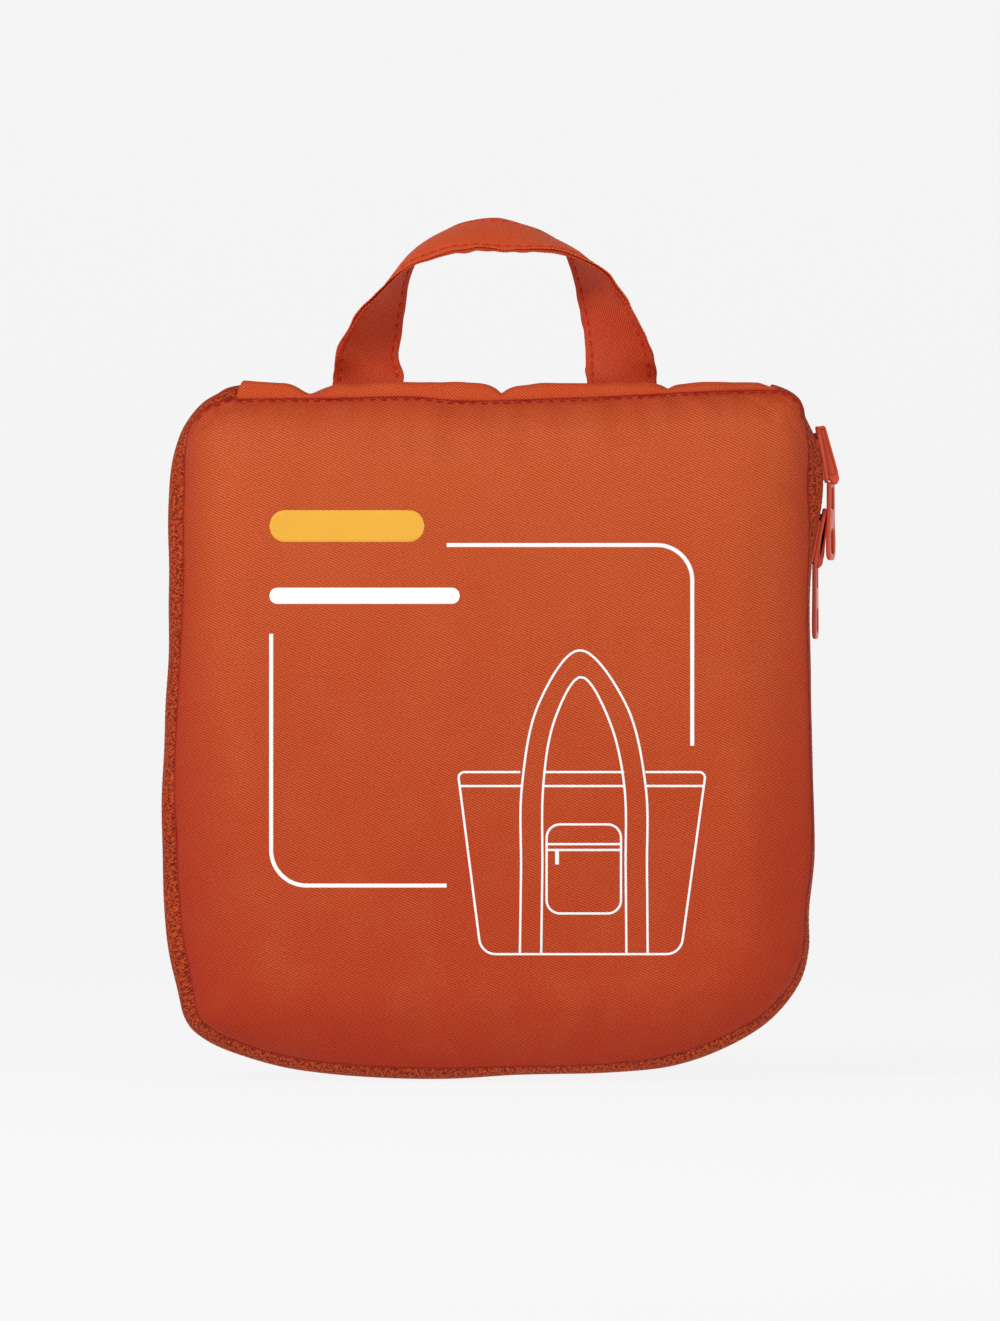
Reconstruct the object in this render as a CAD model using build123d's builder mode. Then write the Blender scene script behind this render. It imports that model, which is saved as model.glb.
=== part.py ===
from build123d import *
import math
import os

# A foldable tote bag packed into its own zippered pouch, in millimetres.
# The pouch stands upright: +X is its right side, -Y its printed front, +Z up.
# The origin is the middle of the underside, on the surface that the pouch stands on.

# Pouch outline, seen from the front
LEFT_X = -84.5
RIGHT_X = 84.5
TOP_Z = 181.0
CORNER_RADII = (35.0, 38.5, 9.5, 20.0)  # bottom left, bottom right, top right, top left
MIN_RADIUS = 4.0

# Gusset all round: zipper tapes on three sides and the hinge strip on the top
SEAM_Y = 10.0
SEAM_INSET = 3.5
FLAT_Y = 7.5
TAPE_THICK = 0.6
COIL_OUTER_Y = 3.0
COIL_INNER_Y = 0.8
COIL_THICK = 1.6
STRIP_THICK = 0.8
STRIP_GAP = 0.4
BINDING_INSET = 4.9
BINDING_THICK = 1.0
BINDING_Y = (6.4, 9.6)

# Stuffed panels: (inset from the outline, distance from the middle plane) of each level
PILLOW = ((SEAM_INSET, SEAM_Y), (12.0, 14.5), (26.0, 17.2))
PANEL_THICK = 0.8
BACK_EXTRA = 0.15  # the print makes the front this much deeper, and the back matches it
INNER_PANEL = ((5.0, 10.0), (14.0, 12.0), (26.0, 14.0))
INNER_THICK = 0.6

# Zip pocket on the inside of the front leaf
POCKET_ZIP_Z = 144.0
POCKET_ZIP_HALF = 57.0
POCKET_WINDOW = 13.6
POCKET_TAPE_Y = (-14.0, -13.5)
POCKET_COIL_Y = (-14.2, -13.1)
POCKET_COIL_Z = (0.6, 2.4)
POCKET_SLIDER_X = 44.0

# Carry loop: (front edge x, z, back edge x, z) of the strap, from its left foot over to its right foot
STRAP_WIDTH = 18.0
PLY_THICK = 0.6
PLY_GAP = 0.1
LOOP_Y = 9.2
LOOP_STATIONS = (
    (-40.4, 182.2, -22.4, 182.2),
    (-39.6, 187.5, -23.0, 187.2),
    (-38.0, 192.4, -23.1, 192.4),
    (-33.4, 199.6, -22.3, 200.2),
    (-27.0, 206.2, -21.2, 207.8),
    (-19.5, 211.8, -18.0, 215.2),
    (-9.5, 215.0, -10.5, 221.3),
    (1.0, 215.8, 0.5, 224.0),
    (12.5, 215.6, 12.5, 221.2),
    (22.3, 213.6, 20.0, 216.2),
    (30.1, 209.6, 22.8, 207.6),
    (35.7, 202.8, 24.0, 200.8),
    (39.4, 195.4, 25.0, 194.6),
    (42.4, 188.0, 25.6, 187.8),
    (43.6, 182.2, 25.6, 182.2),
)

# Pouch sliders, as (outward, upward) from the tape face and the slider's lower end
SLIDER_LENGTH = 15.0
SLIDER_WIDTH = 8.4
PLATE_THICK = 0.9
OUTER_PLATE = 0.4
INNER_PLATE = -3.0
BRIDGE_WIDTH = 1.8
BRIDGE_THICK = 0.7
UPPER_SLIDER_Z = 152.5
LOWER_SLIDER_Z = 132.0
UPPER_REACH = 6.5
LOWER_REACH = 3.9

# Pulls hang from the bridges, turned a little about the vertical
PULL_THICK = 1.1
PULL_DROP = 19.4
PULL_TURN = 8.0
PULL_TOP_WIDTH = 5.4
PULL_END_WIDTH = 7.2
PULL_BAR = 0.6
PULL_HINGE = 1.95  # height of the hinge above the slider's lower end
PULL_HINGE_IN = 1.65  # depth of the hinge inside the bridge's outermost face

# Print on the front panel
PRINT_THICK = 0.15
PRINT_FACE_Y = -PILLOW[-1][1]
FRAME_LINE = 1.0
ART_LINE = 0.55
FRAME_LEFT, FRAME_RIGHT = -56.7, 52.5
FRAME_LOW, FRAME_HIGH = 50.7, 138.6
FRAME_RADIUS = 9.1

os.makedirs("parts", exist_ok=True)


def across(y):
    """The upright plane at depth y: its x is +X and its y is +Z."""
    return Plane.XZ.offset(-y)


def outline(inset):
    """The pouch's outline, moved inwards, as a face."""
    low, high = inset, TOP_Z - inset
    left, right = LEFT_X + inset, RIGHT_X - inset
    radii = [max(radius - inset, MIN_RADIUS) for radius in CORNER_RADII]
    with BuildSketch() as face:
        with BuildLine():
            FilletPolyline((left, low), (right, low), (right, high), (left, high), radius=radii, close=True)
        make_face()
    return face.sketch


def band(inset, thick, y_from, y_to):
    """A straight band that follows the outline."""
    with BuildPart() as ring:
        with BuildSketch(across(y_from)):
            add(outline(inset))
            add(outline(inset + thick), mode=Mode.SUBTRACT)
        extrude(amount=y_from - y_to)
    return ring.part


def stack(levels, side):
    """Outlines at several (inset, depth) levels, joined by straight walls."""
    with BuildPart() as solid:
        for inset, depth in levels:
            with BuildSketch(across(side * depth)):
                add(outline(inset))
        loft(ruled=True)
    return solid.part


def save(piece, name):
    piece.part.label = name
    export_step(piece.part, f"parts/{name}.step")


def block(low, high, rounding=0.0):
    """A box from corner to corner, its upright edges along Y rounded."""
    with BuildPart() as body:
        with BuildSketch(across(low[1])):
            with Locations(((low[0] + high[0]) / 2, (low[2] + high[2]) / 2)):
                if rounding:
                    RectangleRounded(high[0] - low[0], high[2] - low[2], rounding)
                else:
                    Rectangle(high[0] - low[0], high[2] - low[2])
        extrude(amount=low[1] - high[1])
    return body


# Stuffed panels
def pillow_levels(depth, extra=0.0):
    """The pillow's levels for a surface this far under the outer one."""
    (rim, rim_y), (shoulder, shoulder_y), (crown, crown_y) = PILLOW
    return (
        (rim + 1.3 * depth, rim_y),
        (shoulder + 0.8 * depth, shoulder_y - 0.8 * depth),
        (crown + 0.3 * depth, crown_y + extra - depth),
    )


def panel(side, extra):
    with BuildPart() as skin:
        add(stack(pillow_levels(0.0, extra), side))
        add(stack(pillow_levels(PANEL_THICK, extra), side), mode=Mode.SUBTRACT)
    return skin


front_panel = panel(-1, 0.0)
save(front_panel, "front_panel")
back_panel = panel(1, BACK_EXTRA)
save(back_panel, "back_panel")


# Zipper tapes and coils run round three sides and are open along the top edge
TAPE_END_LEFT = LEFT_X + CORNER_RADII[3]
TAPE_END_RIGHT = RIGHT_X - CORNER_RADII[2]
top_opening = block((TAPE_END_LEFT, -2 * SEAM_Y, 160), (TAPE_END_RIGHT, 2 * SEAM_Y, 190)).part


def zipper_tape(side):
    with BuildPart() as tape:
        add(stack(((0.0, FLAT_Y), (SEAM_INSET, SEAM_Y)), side))
        add(stack(((TAPE_THICK, FLAT_Y), (SEAM_INSET + TAPE_THICK, SEAM_Y)), side), mode=Mode.SUBTRACT)
        add(band(0.0, TAPE_THICK, side * FLAT_Y, side * COIL_OUTER_Y))
        add(top_opening, mode=Mode.SUBTRACT)
    return tape


def zipper_coil(side):
    with BuildPart() as coil:
        add(band(0.0, COIL_THICK, side * COIL_OUTER_Y, side * COIL_INNER_Y))
        add(top_opening, mode=Mode.SUBTRACT)
    return coil


def seam_binding(side):
    with BuildPart() as binding:
        add(band(BINDING_INSET, BINDING_THICK, side * BINDING_Y[1], side * BINDING_Y[0]))
    return binding


for side, half in ((-1, "front"), (1, "back")):
    save(zipper_tape(side), f"{half}_zipper_tape")
    save(zipper_coil(side), f"{half}_zipper_coil")
    save(seam_binding(side), f"{half}_seam_binding")

# Hinge strip along the top, between the zipper's ends
with BuildPart() as top_hinge_strip:
    strip_left = TAPE_END_LEFT + STRIP_GAP
    strip_right = TAPE_END_RIGHT - STRIP_GAP
    seam_z = TOP_Z - SEAM_INSET
    edge_y = SEAM_Y - STRIP_GAP
    with BuildSketch(Plane.YZ.offset(strip_left)):
        with BuildLine():
            Polyline(
                (-edge_y, seam_z + STRIP_GAP),
                (-FLAT_Y, TOP_Z),
                (FLAT_Y, TOP_Z),
                (edge_y, seam_z + STRIP_GAP),
                (edge_y, seam_z - STRIP_THICK),
                (FLAT_Y, TOP_Z - STRIP_THICK),
                (-FLAT_Y, TOP_Z - STRIP_THICK),
                (-edge_y, seam_z - STRIP_THICK),
                close=True,
            )
        make_face()
    extrude(amount=strip_right - strip_left)
save(top_hinge_strip, "top_hinge_strip")

# Small tabs that close the zipper's two ends, behind the coil
for name, end_x in (("left", TAPE_END_LEFT), ("right", TAPE_END_RIGHT)):
    tab = block((end_x - 3.5, 3.4, 178.2), (end_x + 3.5, 7.2, 178.9))
    save(tab, f"zipper_end_tab_{name}")


# Carry loop: two plies of one strap, turned from flat at its feet to nearly level at its top
def station_planes(offset):
    """A plane across the strap at each station: x runs from its front edge to its back edge."""
    middles, widths = [], []
    for front_x, front_z, back_x, back_z in LOOP_STATIONS:
        seen = math.hypot(back_x - front_x, back_z - front_z)
        depth = math.sqrt(max(STRAP_WIDTH**2 - seen**2, 0.0)) / 2
        front = Vector(front_x, LOOP_Y - depth, front_z)
        back = Vector(back_x, LOOP_Y + depth, back_z)
        middles.append((front + back) / 2)
        widths.append((back - front).normalized())
    planes = []
    for i, (middle, width) in enumerate(zip(middles, widths)):
        ahead = middles[min(i + 1, len(middles) - 1)] - middles[max(i - 1, 0)]
        if i in (0, len(middles) - 1):
            ahead = Vector(0, 0, 1 if i == 0 else -1)
        along = (ahead - width * ahead.dot(width)).normalized()
        normal = along.cross(width)
        planes.append(Plane(origin=middle + normal * offset, x_dir=width, z_dir=along))
    return planes


def strap_ply(offset):
    with BuildPart() as ply:
        for plane in station_planes(offset):
            with BuildSketch(plane):
                Rectangle(STRAP_WIDTH, PLY_THICK)
        loft()
    return ply


ply_offset = (PLY_THICK + PLY_GAP) / 2
save(strap_ply(ply_offset), "carry_loop_outer_ply")
save(strap_ply(-ply_offset), "carry_loop_inner_ply")


# Pouch sliders on the straight right side
def side_plane(low_z):
    """The plane Y = 0 with x outwards from the tape's face and y upwards from low_z."""
    return Plane(origin=(RIGHT_X, 0, low_z), x_dir=(1, 0, 0), z_dir=(0, -1, 0))


def plate(low_z, out_from, up_from, up_to, width, thick=PLATE_THICK):
    """A plate of a slider, parallel to the tape."""
    with BuildPart() as flat:
        with BuildSketch(side_plane(low_z)):
            with Locations((out_from + thick / 2, (up_from + up_to) / 2)):
                Rectangle(thick, up_to - up_from)
        extrude(amount=width / 2, both=True)
    return flat.part


def bridge_outline(reach, thin):
    """The bridge's wedge shape from the side, drawn inwards by thin."""
    foot = OUTER_PLATE + PLATE_THICK - (0.0 if thin else 0.3)
    with BuildSketch() as wedge:
        with BuildLine():
            Polyline(
                (foot, 0.4 + thin),
                (reach - thin, 0.4 + thin),
                (reach - thin, 3.4),
                (foot + 0.8 - 0.4 * thin, 14.4 - 2 * thin),
                (foot, 14.4 - 2 * thin),
                close=True,
            )
        make_face()
    return wedge.sketch


def pouch_slider(low_z, reach):
    post_thick = OUTER_PLATE - INNER_PLATE - PLATE_THICK + 0.2
    with BuildPart() as slider:
        add(plate(low_z, OUTER_PLATE, 0, SLIDER_LENGTH, SLIDER_WIDTH))
        add(plate(low_z, INNER_PLATE, 0, SLIDER_LENGTH, SLIDER_WIDTH))
        add(plate(low_z, INNER_PLATE + PLATE_THICK - 0.1, 9.0, 13.0, 1.0, post_thick))
        with BuildSketch(side_plane(low_z)):
            add(bridge_outline(reach, 0.0))
            add(bridge_outline(reach, BRIDGE_THICK), mode=Mode.SUBTRACT)
        extrude(amount=BRIDGE_WIDTH / 2, both=True)
    return slider


def pull_face(width_top, width_end, drop):
    """A pull with its slot and its finger hole, hanging down from its hinge at the origin."""
    with BuildSketch() as face:
        with BuildLine():
            FilletPolyline(
                (-width_top / 2, PULL_BAR),
                (width_top / 2, PULL_BAR),
                (width_end / 2, 5 - drop),
                (width_end / 2, -drop),
                (-width_end / 2, -drop),
                (-width_end / 2, 5 - drop),
                radius=[0.5, 0.5, 2.0, 2.6, 2.6, 2.0],
                close=True,
            )
        make_face()
        with Locations((0, -PULL_BAR - 3.0)):
            RectangleRounded(2.6, 6.0, 0.6, mode=Mode.SUBTRACT)
        with Locations((0, 4.9 - drop)):
            SlotOverall(6.6, 0.5 * width_end, rotation=90, mode=Mode.SUBTRACT)
    return face.sketch


def pouch_pull(low_z, reach):
    turn = math.radians(PULL_TURN)
    hinge = (RIGHT_X + reach - PULL_HINGE_IN, 0, low_z + PULL_HINGE)
    along = (math.sin(turn), math.cos(turn), 0)
    outward = (math.cos(turn), -math.sin(turn), 0)
    with BuildPart() as pull:
        with BuildSketch(Plane(origin=hinge, x_dir=along, z_dir=outward)):
            add(pull_face(PULL_TOP_WIDTH, PULL_END_WIDTH, PULL_DROP))
        extrude(amount=PULL_THICK / 2, both=True)
    return pull


for place, low_z, reach in (("upper", UPPER_SLIDER_Z, UPPER_REACH), ("lower", LOWER_SLIDER_Z, LOWER_REACH)):
    save(pouch_slider(low_z, reach), f"{place}_slider")
    save(pouch_pull(low_z, reach), f"{place}_pull")

# Inside of the front leaf: the zip pocket's panel with a window for its zipper
inner_hollow = [(inset + 0.6, depth - INNER_THICK * (depth > SEAM_Y)) for inset, depth in INNER_PANEL]
with BuildPart() as inner_panel:
    add(stack(INNER_PANEL, -1))
    add(stack(inner_hollow, -1), mode=Mode.SUBTRACT)
    with BuildSketch(across(0)):
        with Locations((0, POCKET_ZIP_Z)):
            Rectangle(2 * POCKET_ZIP_HALF, POCKET_WINDOW)
    extrude(amount=2 * SEAM_Y, mode=Mode.SUBTRACT)
save(inner_panel, "inner_panel")


def pocket_strips(z_from, z_to, depths):
    """Two strips along the pocket's zipper, one above it and one below."""
    with BuildPart() as strips:
        with BuildSketch(across(depths[1])):
            side = (z_from + z_to) / 2
            with Locations((0, POCKET_ZIP_Z + side), (0, POCKET_ZIP_Z - side)):
                Rectangle(2 * POCKET_ZIP_HALF - 0.4, z_to - z_from)
        extrude(amount=depths[1] - depths[0])
    return strips


save(pocket_strips(POCKET_COIL_Z[1], POCKET_WINDOW / 2 - 0.1, POCKET_TAPE_Y), "pocket_zipper_tape")
save(pocket_strips(*POCKET_COIL_Z, POCKET_COIL_Y), "pocket_zipper_coil")

# The pocket's slider: plates on both sides of the coil, a post between them and a bridge
POCKET_PLATE_OUT = (-12.7, -11.9)
POCKET_PLATE_IN = (-15.4, -14.6)
POCKET_BRIDGE_TOP = -9.2
POCKET_PULL_Y = (-11.2, -10.2)
POCKET_HINGE_X = POCKET_SLIDER_X - 2.6
with BuildPart() as pocket_slider:
    for depths in (POCKET_PLATE_OUT, POCKET_PLATE_IN):
        with BuildSketch(across(depths[1])):
            with Locations((POCKET_SLIDER_X, POCKET_ZIP_Z)):
                RectangleRounded(9.0, 7.0, 1.5)
        extrude(amount=depths[1] - depths[0])
    with BuildSketch(across(POCKET_PLATE_OUT[0] + 0.1)):
        with Locations((POCKET_SLIDER_X + 2.5, POCKET_ZIP_Z)):
            Rectangle(2.0, 0.8)
    extrude(amount=POCKET_PLATE_OUT[0] - POCKET_PLATE_IN[1] + 0.2)
    with BuildSketch(Plane.XY.offset(POCKET_ZIP_Z)):
        with BuildLine():
            Polyline(
                (POCKET_SLIDER_X - 4.2, POCKET_PLATE_OUT[1] - 0.1),
                (POCKET_SLIDER_X - 4.2, POCKET_BRIDGE_TOP),
                (POCKET_SLIDER_X, POCKET_BRIDGE_TOP),
                (POCKET_SLIDER_X + 4.0, POCKET_PLATE_OUT[1] - 0.1),
                close=True,
            )
        make_face()
        with BuildLine():
            Polyline(
                (POCKET_SLIDER_X - 3.6, POCKET_PLATE_OUT[1]),
                (POCKET_SLIDER_X - 3.6, POCKET_BRIDGE_TOP - 0.6),
                (POCKET_SLIDER_X - 0.4, POCKET_BRIDGE_TOP - 0.6),
                (POCKET_SLIDER_X + 2.2, POCKET_PLATE_OUT[1]),
                close=True,
            )
        make_face(mode=Mode.SUBTRACT)
    extrude(amount=0.8, both=True)
save(pocket_slider, "pocket_slider")

pocket_hinge = (POCKET_HINGE_X, sum(POCKET_PULL_Y) / 2, POCKET_ZIP_Z)
pocket_pull_plane = Plane(origin=pocket_hinge, x_dir=(0, 0, 1), z_dir=(0, 1, 0))
with BuildPart() as pocket_pull:
    with BuildSketch(pocket_pull_plane):
        add(pull_face(4.4, 5.6, 15.0))
    extrude(amount=(POCKET_PULL_Y[1] - POCKET_PULL_Y[0]) / 2, both=True)
save(pocket_pull, "pocket_pull")

# The folded tote inside the pouch, from back to front
FOLDS = {
    "tote_back_body_folded": ((-62, 9.7, 24), (62, 14.6, 156), 12),
    "tote_side_gussets_folded": ((-71, 4.4, 10), (71, 9.4, 165), 26),
    "tote_front_body_folded": ((-74, -2.2, 8), (73, 4.1, 168), 26),
    "shoulder_strap_left": ((-56, -7.4, 14), (-22, -2.5, 124), 5),
    "shoulder_strap_right": ((20, -7.4, 16), (54, -2.5, 126), 5),
    "care_label": ((-12, -3.0, 96), (10, -2.6, 128), 1),
}
for name, (low, high, rounding) in FOLDS.items():
    save(block(low, high, rounding), name)

# The tote's own mouth zipper, folded flat on its front
MOUTH_Z = 159.0
MOUTH_HALF = 58.0
MOUTH_TAPE_Y = (-2.9, -2.4)
with BuildPart() as mouth_zipper_tape:
    with BuildSketch(across(MOUTH_TAPE_Y[1])):
        with Locations((0, MOUTH_Z + 4.6), (0, MOUTH_Z - 4.6)):
            Rectangle(2 * MOUTH_HALF, 4.8)
    extrude(amount=MOUTH_TAPE_Y[1] - MOUTH_TAPE_Y[0])
save(mouth_zipper_tape, "mouth_zipper_tape")

with BuildPart() as mouth_zipper_coil:
    with BuildSketch(across(MOUTH_TAPE_Y[1])):
        with Locations((0, MOUTH_Z)):
            Rectangle(2 * MOUTH_HALF, 4.2)
    extrude(amount=1.3)
save(mouth_zipper_coil, "mouth_zipper_coil")

MOUTH_SLIDER_X = 50.0
mouth_slider = block(
    (MOUTH_SLIDER_X - 4.5, -5.0, MOUTH_Z - 3.5),
    (MOUTH_SLIDER_X + 4.5, -3.9, MOUTH_Z + 3.5),
    1.5,
)
save(mouth_slider, "mouth_zipper_slider")

mouth_pull_plane = Plane(origin=(MOUTH_SLIDER_X - 2.0, -6.1, MOUTH_Z), x_dir=(0, 0, 1), z_dir=(0, 1, 0))
with BuildPart() as mouth_pull:
    with BuildSketch(mouth_pull_plane):
        add(pull_face(4.4, 5.6, 15.0))
    extrude(amount=1.0)
save(mouth_pull, "mouth_zipper_pull")


# Print on the front panel: two frame lines, two plain bars and a pictogram of the open tote
def bar(left, right, low, high):
    """A bar with round ends, as a face."""
    with BuildSketch() as face:
        with Locations(((left + right) / 2, (low + high) / 2)):
            RectangleRounded(right - left, high - low, 0.49 * (high - low))
    return face.sketch


with BuildPart() as yellow_print:
    with BuildSketch(across(PRINT_FACE_Y)):
        add(bar(FRAME_LEFT, -16.6, 139.4, 147.6))
    extrude(amount=PRINT_THICK)
save(yellow_print, "yellow_print")

TOTE_LEFT, TOTE_RIGHT = -8.0, 56.0
TOTE_LOW, TOTE_HIGH = 33.0, 80.0
with BuildPart() as white_print:
    with BuildSketch(across(PRINT_FACE_Y)):
        add(bar(FRAME_LEFT, -7.5, 123.4, 127.6))
        with BuildLine() as upper_frame:
            FilletPolyline(
                (-10.9, FRAME_HIGH),
                (FRAME_RIGHT, FRAME_HIGH),
                (FRAME_RIGHT, 86.8),
                radius=FRAME_RADIUS,
            )
        trace(line_width=FRAME_LINE)
        with BuildLine() as lower_frame:
            FilletPolyline(
                (FRAME_LEFT, 115.7),
                (FRAME_LEFT, FRAME_LOW),
                (-10.9, FRAME_LOW),
                radius=FRAME_RADIUS,
            )
        trace(line_width=FRAME_LINE)
        with BuildLine() as tote_body:
            FilletPolyline(
                (TOTE_LEFT, TOTE_HIGH),
                (TOTE_RIGHT, TOTE_HIGH),
                (TOTE_RIGHT - 7, TOTE_LOW),
                (TOTE_LEFT + 6, TOTE_LOW),
                radius=[1.0, 1.0, 4.0, 4.0],
                close=True,
            )
        trace(line_width=ART_LINE)
        for inner, top in ((0.0, 111.5), (5.5, 105.0)):
            with BuildLine() as strap_line:
                Spline(
                    (8.0 + inner, TOTE_LOW + ART_LINE),
                    (8.5 + inner, TOTE_HIGH - 4),
                    (23.0, top),
                    (40.5 - inner, TOTE_HIGH - 4),
                    (41.0 - inner, TOTE_LOW + ART_LINE),
                    tangents=[(0, 1), (0, -1)],
                )
            trace(line_width=ART_LINE)
        with BuildLine() as pocket_line:
            FilletPolyline((14.5, 43.5), (34.5, 43.5), (34.5, 66.5), (14.5, 66.5), radius=4.0, close=True)
        trace(line_width=ART_LINE)
        with BuildLine() as pocket_zip_line:
            Line((14.7, 60.5), (34.3, 60.5))
        trace(line_width=ART_LINE)
    extrude(amount=PRINT_THICK)
save(white_print, "white_print")
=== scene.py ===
import math

import bmesh
import bpy
import numpy as np
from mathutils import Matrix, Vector
from mathutils.bvhtree import BVHTree


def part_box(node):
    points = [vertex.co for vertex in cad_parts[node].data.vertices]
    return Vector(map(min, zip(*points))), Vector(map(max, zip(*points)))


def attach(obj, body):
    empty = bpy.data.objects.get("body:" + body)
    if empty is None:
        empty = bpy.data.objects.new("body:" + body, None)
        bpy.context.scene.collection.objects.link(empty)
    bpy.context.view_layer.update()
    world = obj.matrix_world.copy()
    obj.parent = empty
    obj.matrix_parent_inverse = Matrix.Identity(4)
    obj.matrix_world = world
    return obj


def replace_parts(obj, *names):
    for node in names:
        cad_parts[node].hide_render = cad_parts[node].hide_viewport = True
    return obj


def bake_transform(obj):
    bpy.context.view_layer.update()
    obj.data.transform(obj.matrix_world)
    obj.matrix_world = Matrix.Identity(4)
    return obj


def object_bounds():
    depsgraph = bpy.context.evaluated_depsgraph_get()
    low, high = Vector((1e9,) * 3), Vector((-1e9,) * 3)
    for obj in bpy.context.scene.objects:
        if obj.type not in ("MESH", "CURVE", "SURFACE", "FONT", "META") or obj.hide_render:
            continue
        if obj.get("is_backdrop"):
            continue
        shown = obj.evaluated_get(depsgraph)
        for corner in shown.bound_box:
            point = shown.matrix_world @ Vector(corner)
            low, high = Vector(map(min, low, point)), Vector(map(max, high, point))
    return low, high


# A tote bag folded into its own zippered pouch. Lengths here are in millimetres and become metres
# where a mesh is made. +X is the pouch's right side, -Y its printed front, +Z up.
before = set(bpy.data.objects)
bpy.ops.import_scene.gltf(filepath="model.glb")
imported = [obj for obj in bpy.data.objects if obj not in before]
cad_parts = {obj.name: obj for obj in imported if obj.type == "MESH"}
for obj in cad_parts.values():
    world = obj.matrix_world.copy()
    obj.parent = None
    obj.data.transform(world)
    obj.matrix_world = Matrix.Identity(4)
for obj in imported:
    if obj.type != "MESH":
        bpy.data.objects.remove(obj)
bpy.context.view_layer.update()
scene = bpy.context.scene
MM = 0.001


def cad_box(node):
    """Lowest and highest corner of a CAD node, in millimetres."""
    low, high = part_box(node)
    return np.array(low) / MM, np.array(high) / MM


# ---------------------------------------------------------------- numbers and curves
def ease(low, high, value):
    t = np.clip((value - low) / (high - low), 0.0, 1.0)
    return t * t * (3.0 - 2.0 * t)


def lattice(i, j, seed):
    """A fixed pseudo-random number from -1 to 1 for each whole-number point."""
    h = (i * 374761393 + j * 668265263 + seed * 982451653) & 0xFFFFFFFF
    h = ((h ^ (h >> 13)) * 1274126177) & 0xFFFFFFFF
    return (h ^ (h >> 16)) / 2.0**31 - 1.0


def ripple(x, y, size, seed):
    """Smooth noise from -1 to 1 with lumps of about this size."""
    x, y = np.broadcast_arrays(np.asarray(x, float) / size, np.asarray(y, float) / size)
    i, j = np.floor(x).astype(np.int64), np.floor(y).astype(np.int64)
    u, v = ease(0, 1, x - i), ease(0, 1, y - j)
    low = lattice(i, j, seed) * (1 - u) + lattice(i + 1, j, seed) * u
    high = lattice(i, j + 1, seed) * (1 - u) + lattice(i + 1, j + 1, seed) * u
    return low * (1 - v) + high * v


def resample(dense, count, closed=False):
    """This many rows, evenly spaced by their first three columns."""
    steps = lengths(dense[:, :3])
    return read_off(np.linspace(0, steps[-1], count, endpoint=not closed), steps, dense)


def spline(points, count, closed=False):
    """Points evenly spaced along a smooth curve through the given ones."""
    p = np.asarray(points, float)
    if closed:
        p = np.vstack([p[-1:], p, p[:2]])
    else:
        p = np.vstack([2 * p[0] - p[1], p, 2 * p[-1] - p[-2]])
    t = np.linspace(0, 1, 16, endpoint=False)[:, None]
    pieces = [
        0.5 * (2 * b + (c - a) * t + (2 * a - 5 * b + 4 * c - d) * t**2 + (3 * b - a - 3 * c + d) * t**3)
        for a, b, c, d in zip(p, p[1:], p[2:], p[3:])
    ]
    return resample(np.vstack(pieces + [p[-2:-1]]), count, closed)


def read_off(at, steps, columns):
    """The rows of columns, read off at these lengths."""
    return np.stack([np.interp(at, steps, column) for column in np.asarray(columns).T], 1)


def lengths(points):
    """Length along a run of points, from 0 at its start."""
    return np.r_[0, np.cumsum(np.linalg.norm(np.diff(points, axis=0), axis=1))]


def weave_layout(down, across):
    """A grid's flat layout from its two lengths."""
    return np.stack(np.meshgrid(down, across, indexing="ij"), -1)


def at_depth(flat, y):
    """(x, z) points as (x, y, z) points."""
    return np.stack(np.broadcast_arrays(flat[..., 0], y, flat[..., 1]), -1)


def unit(v):
    return v / np.maximum(np.linalg.norm(v, axis=-1, keepdims=True), 1e-9)


def rounded(corners, radii, steps=6):
    """A closed outline with its corners rounded. One radius does for all."""
    corners = np.asarray(corners, float)
    out = []
    for i, radius in enumerate(np.broadcast_to(radii, len(corners))):
        corner, before, after = corners[i], corners[i - 1], corners[(i + 1) % len(corners)]
        back, ahead = unit(before - corner), unit(after - corner)
        half = math.acos(float(np.clip(back @ ahead, -1, 1))) / 2
        room = 0.49 * min(np.linalg.norm(before - corner), np.linalg.norm(after - corner))
        reach = min(radius / math.tan(half), room)
        radius = reach * math.tan(half)
        centre = corner + unit(back + ahead) * radius / math.sin(half)
        start, end = corner + back * reach - centre, corner + ahead * reach - centre
        out += [centre + unit(start * (1 - t) + end * t) * radius for t in np.linspace(0, 1, steps)]
    return np.array(out)


def even_sided(half, radii, steps=6):
    """A closed, rounded outline from its right half, mirrored to the left."""
    radii = list(np.broadcast_to(radii, len(half)))
    return rounded(half + [(-u, v) for u, v in reversed(half)], radii + radii[::-1], steps)


# ---------------------------------------------------------------- meshes
def grid_faces(rows, columns, wrap=False):
    """Faces of a grid of points, row after row. With wrap, each row closes on itself."""
    wide = columns if wrap else columns - 1
    i, j = np.meshgrid(np.arange(rows - 1), np.arange(wide), indexing="ij")
    k = (j + 1) % columns
    faces = np.stack([i * columns + j, i * columns + k, (i + 1) * columns + k, (i + 1) * columns + j], -1)
    return faces.reshape(-1, 4)


def point_normals(points, faces):
    a, b, c, d = (points[faces[:, k]] for k in (0, 1, 2, -1))
    across = np.cross(c - a, d - b)
    out = np.zeros_like(points)
    for k in range(faces.shape[1]):
        np.add.at(out, faces[:, k], across)
    return unit(out)


def thicken(points, faces, thick):
    """A closed solid: the surface, a copy of it under its back, and a wall along the border."""
    count = len(points)
    under = points - point_normals(points, faces) * thick
    edges = np.concatenate([np.stack([faces[:, k], faces[:, (k + 1) % 4]], 1) for k in range(4)])
    keys = edges[:, 0] * count + edges[:, 1]
    border = edges[~np.isin(keys, edges[:, 1] * count + edges[:, 0])]
    wall = np.stack([border[:, 1], border[:, 0], border[:, 0] + count, border[:, 1] + count], 1)
    return np.vstack([points, under]), np.vstack([faces, faces[:, ::-1] + count, wall])


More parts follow.
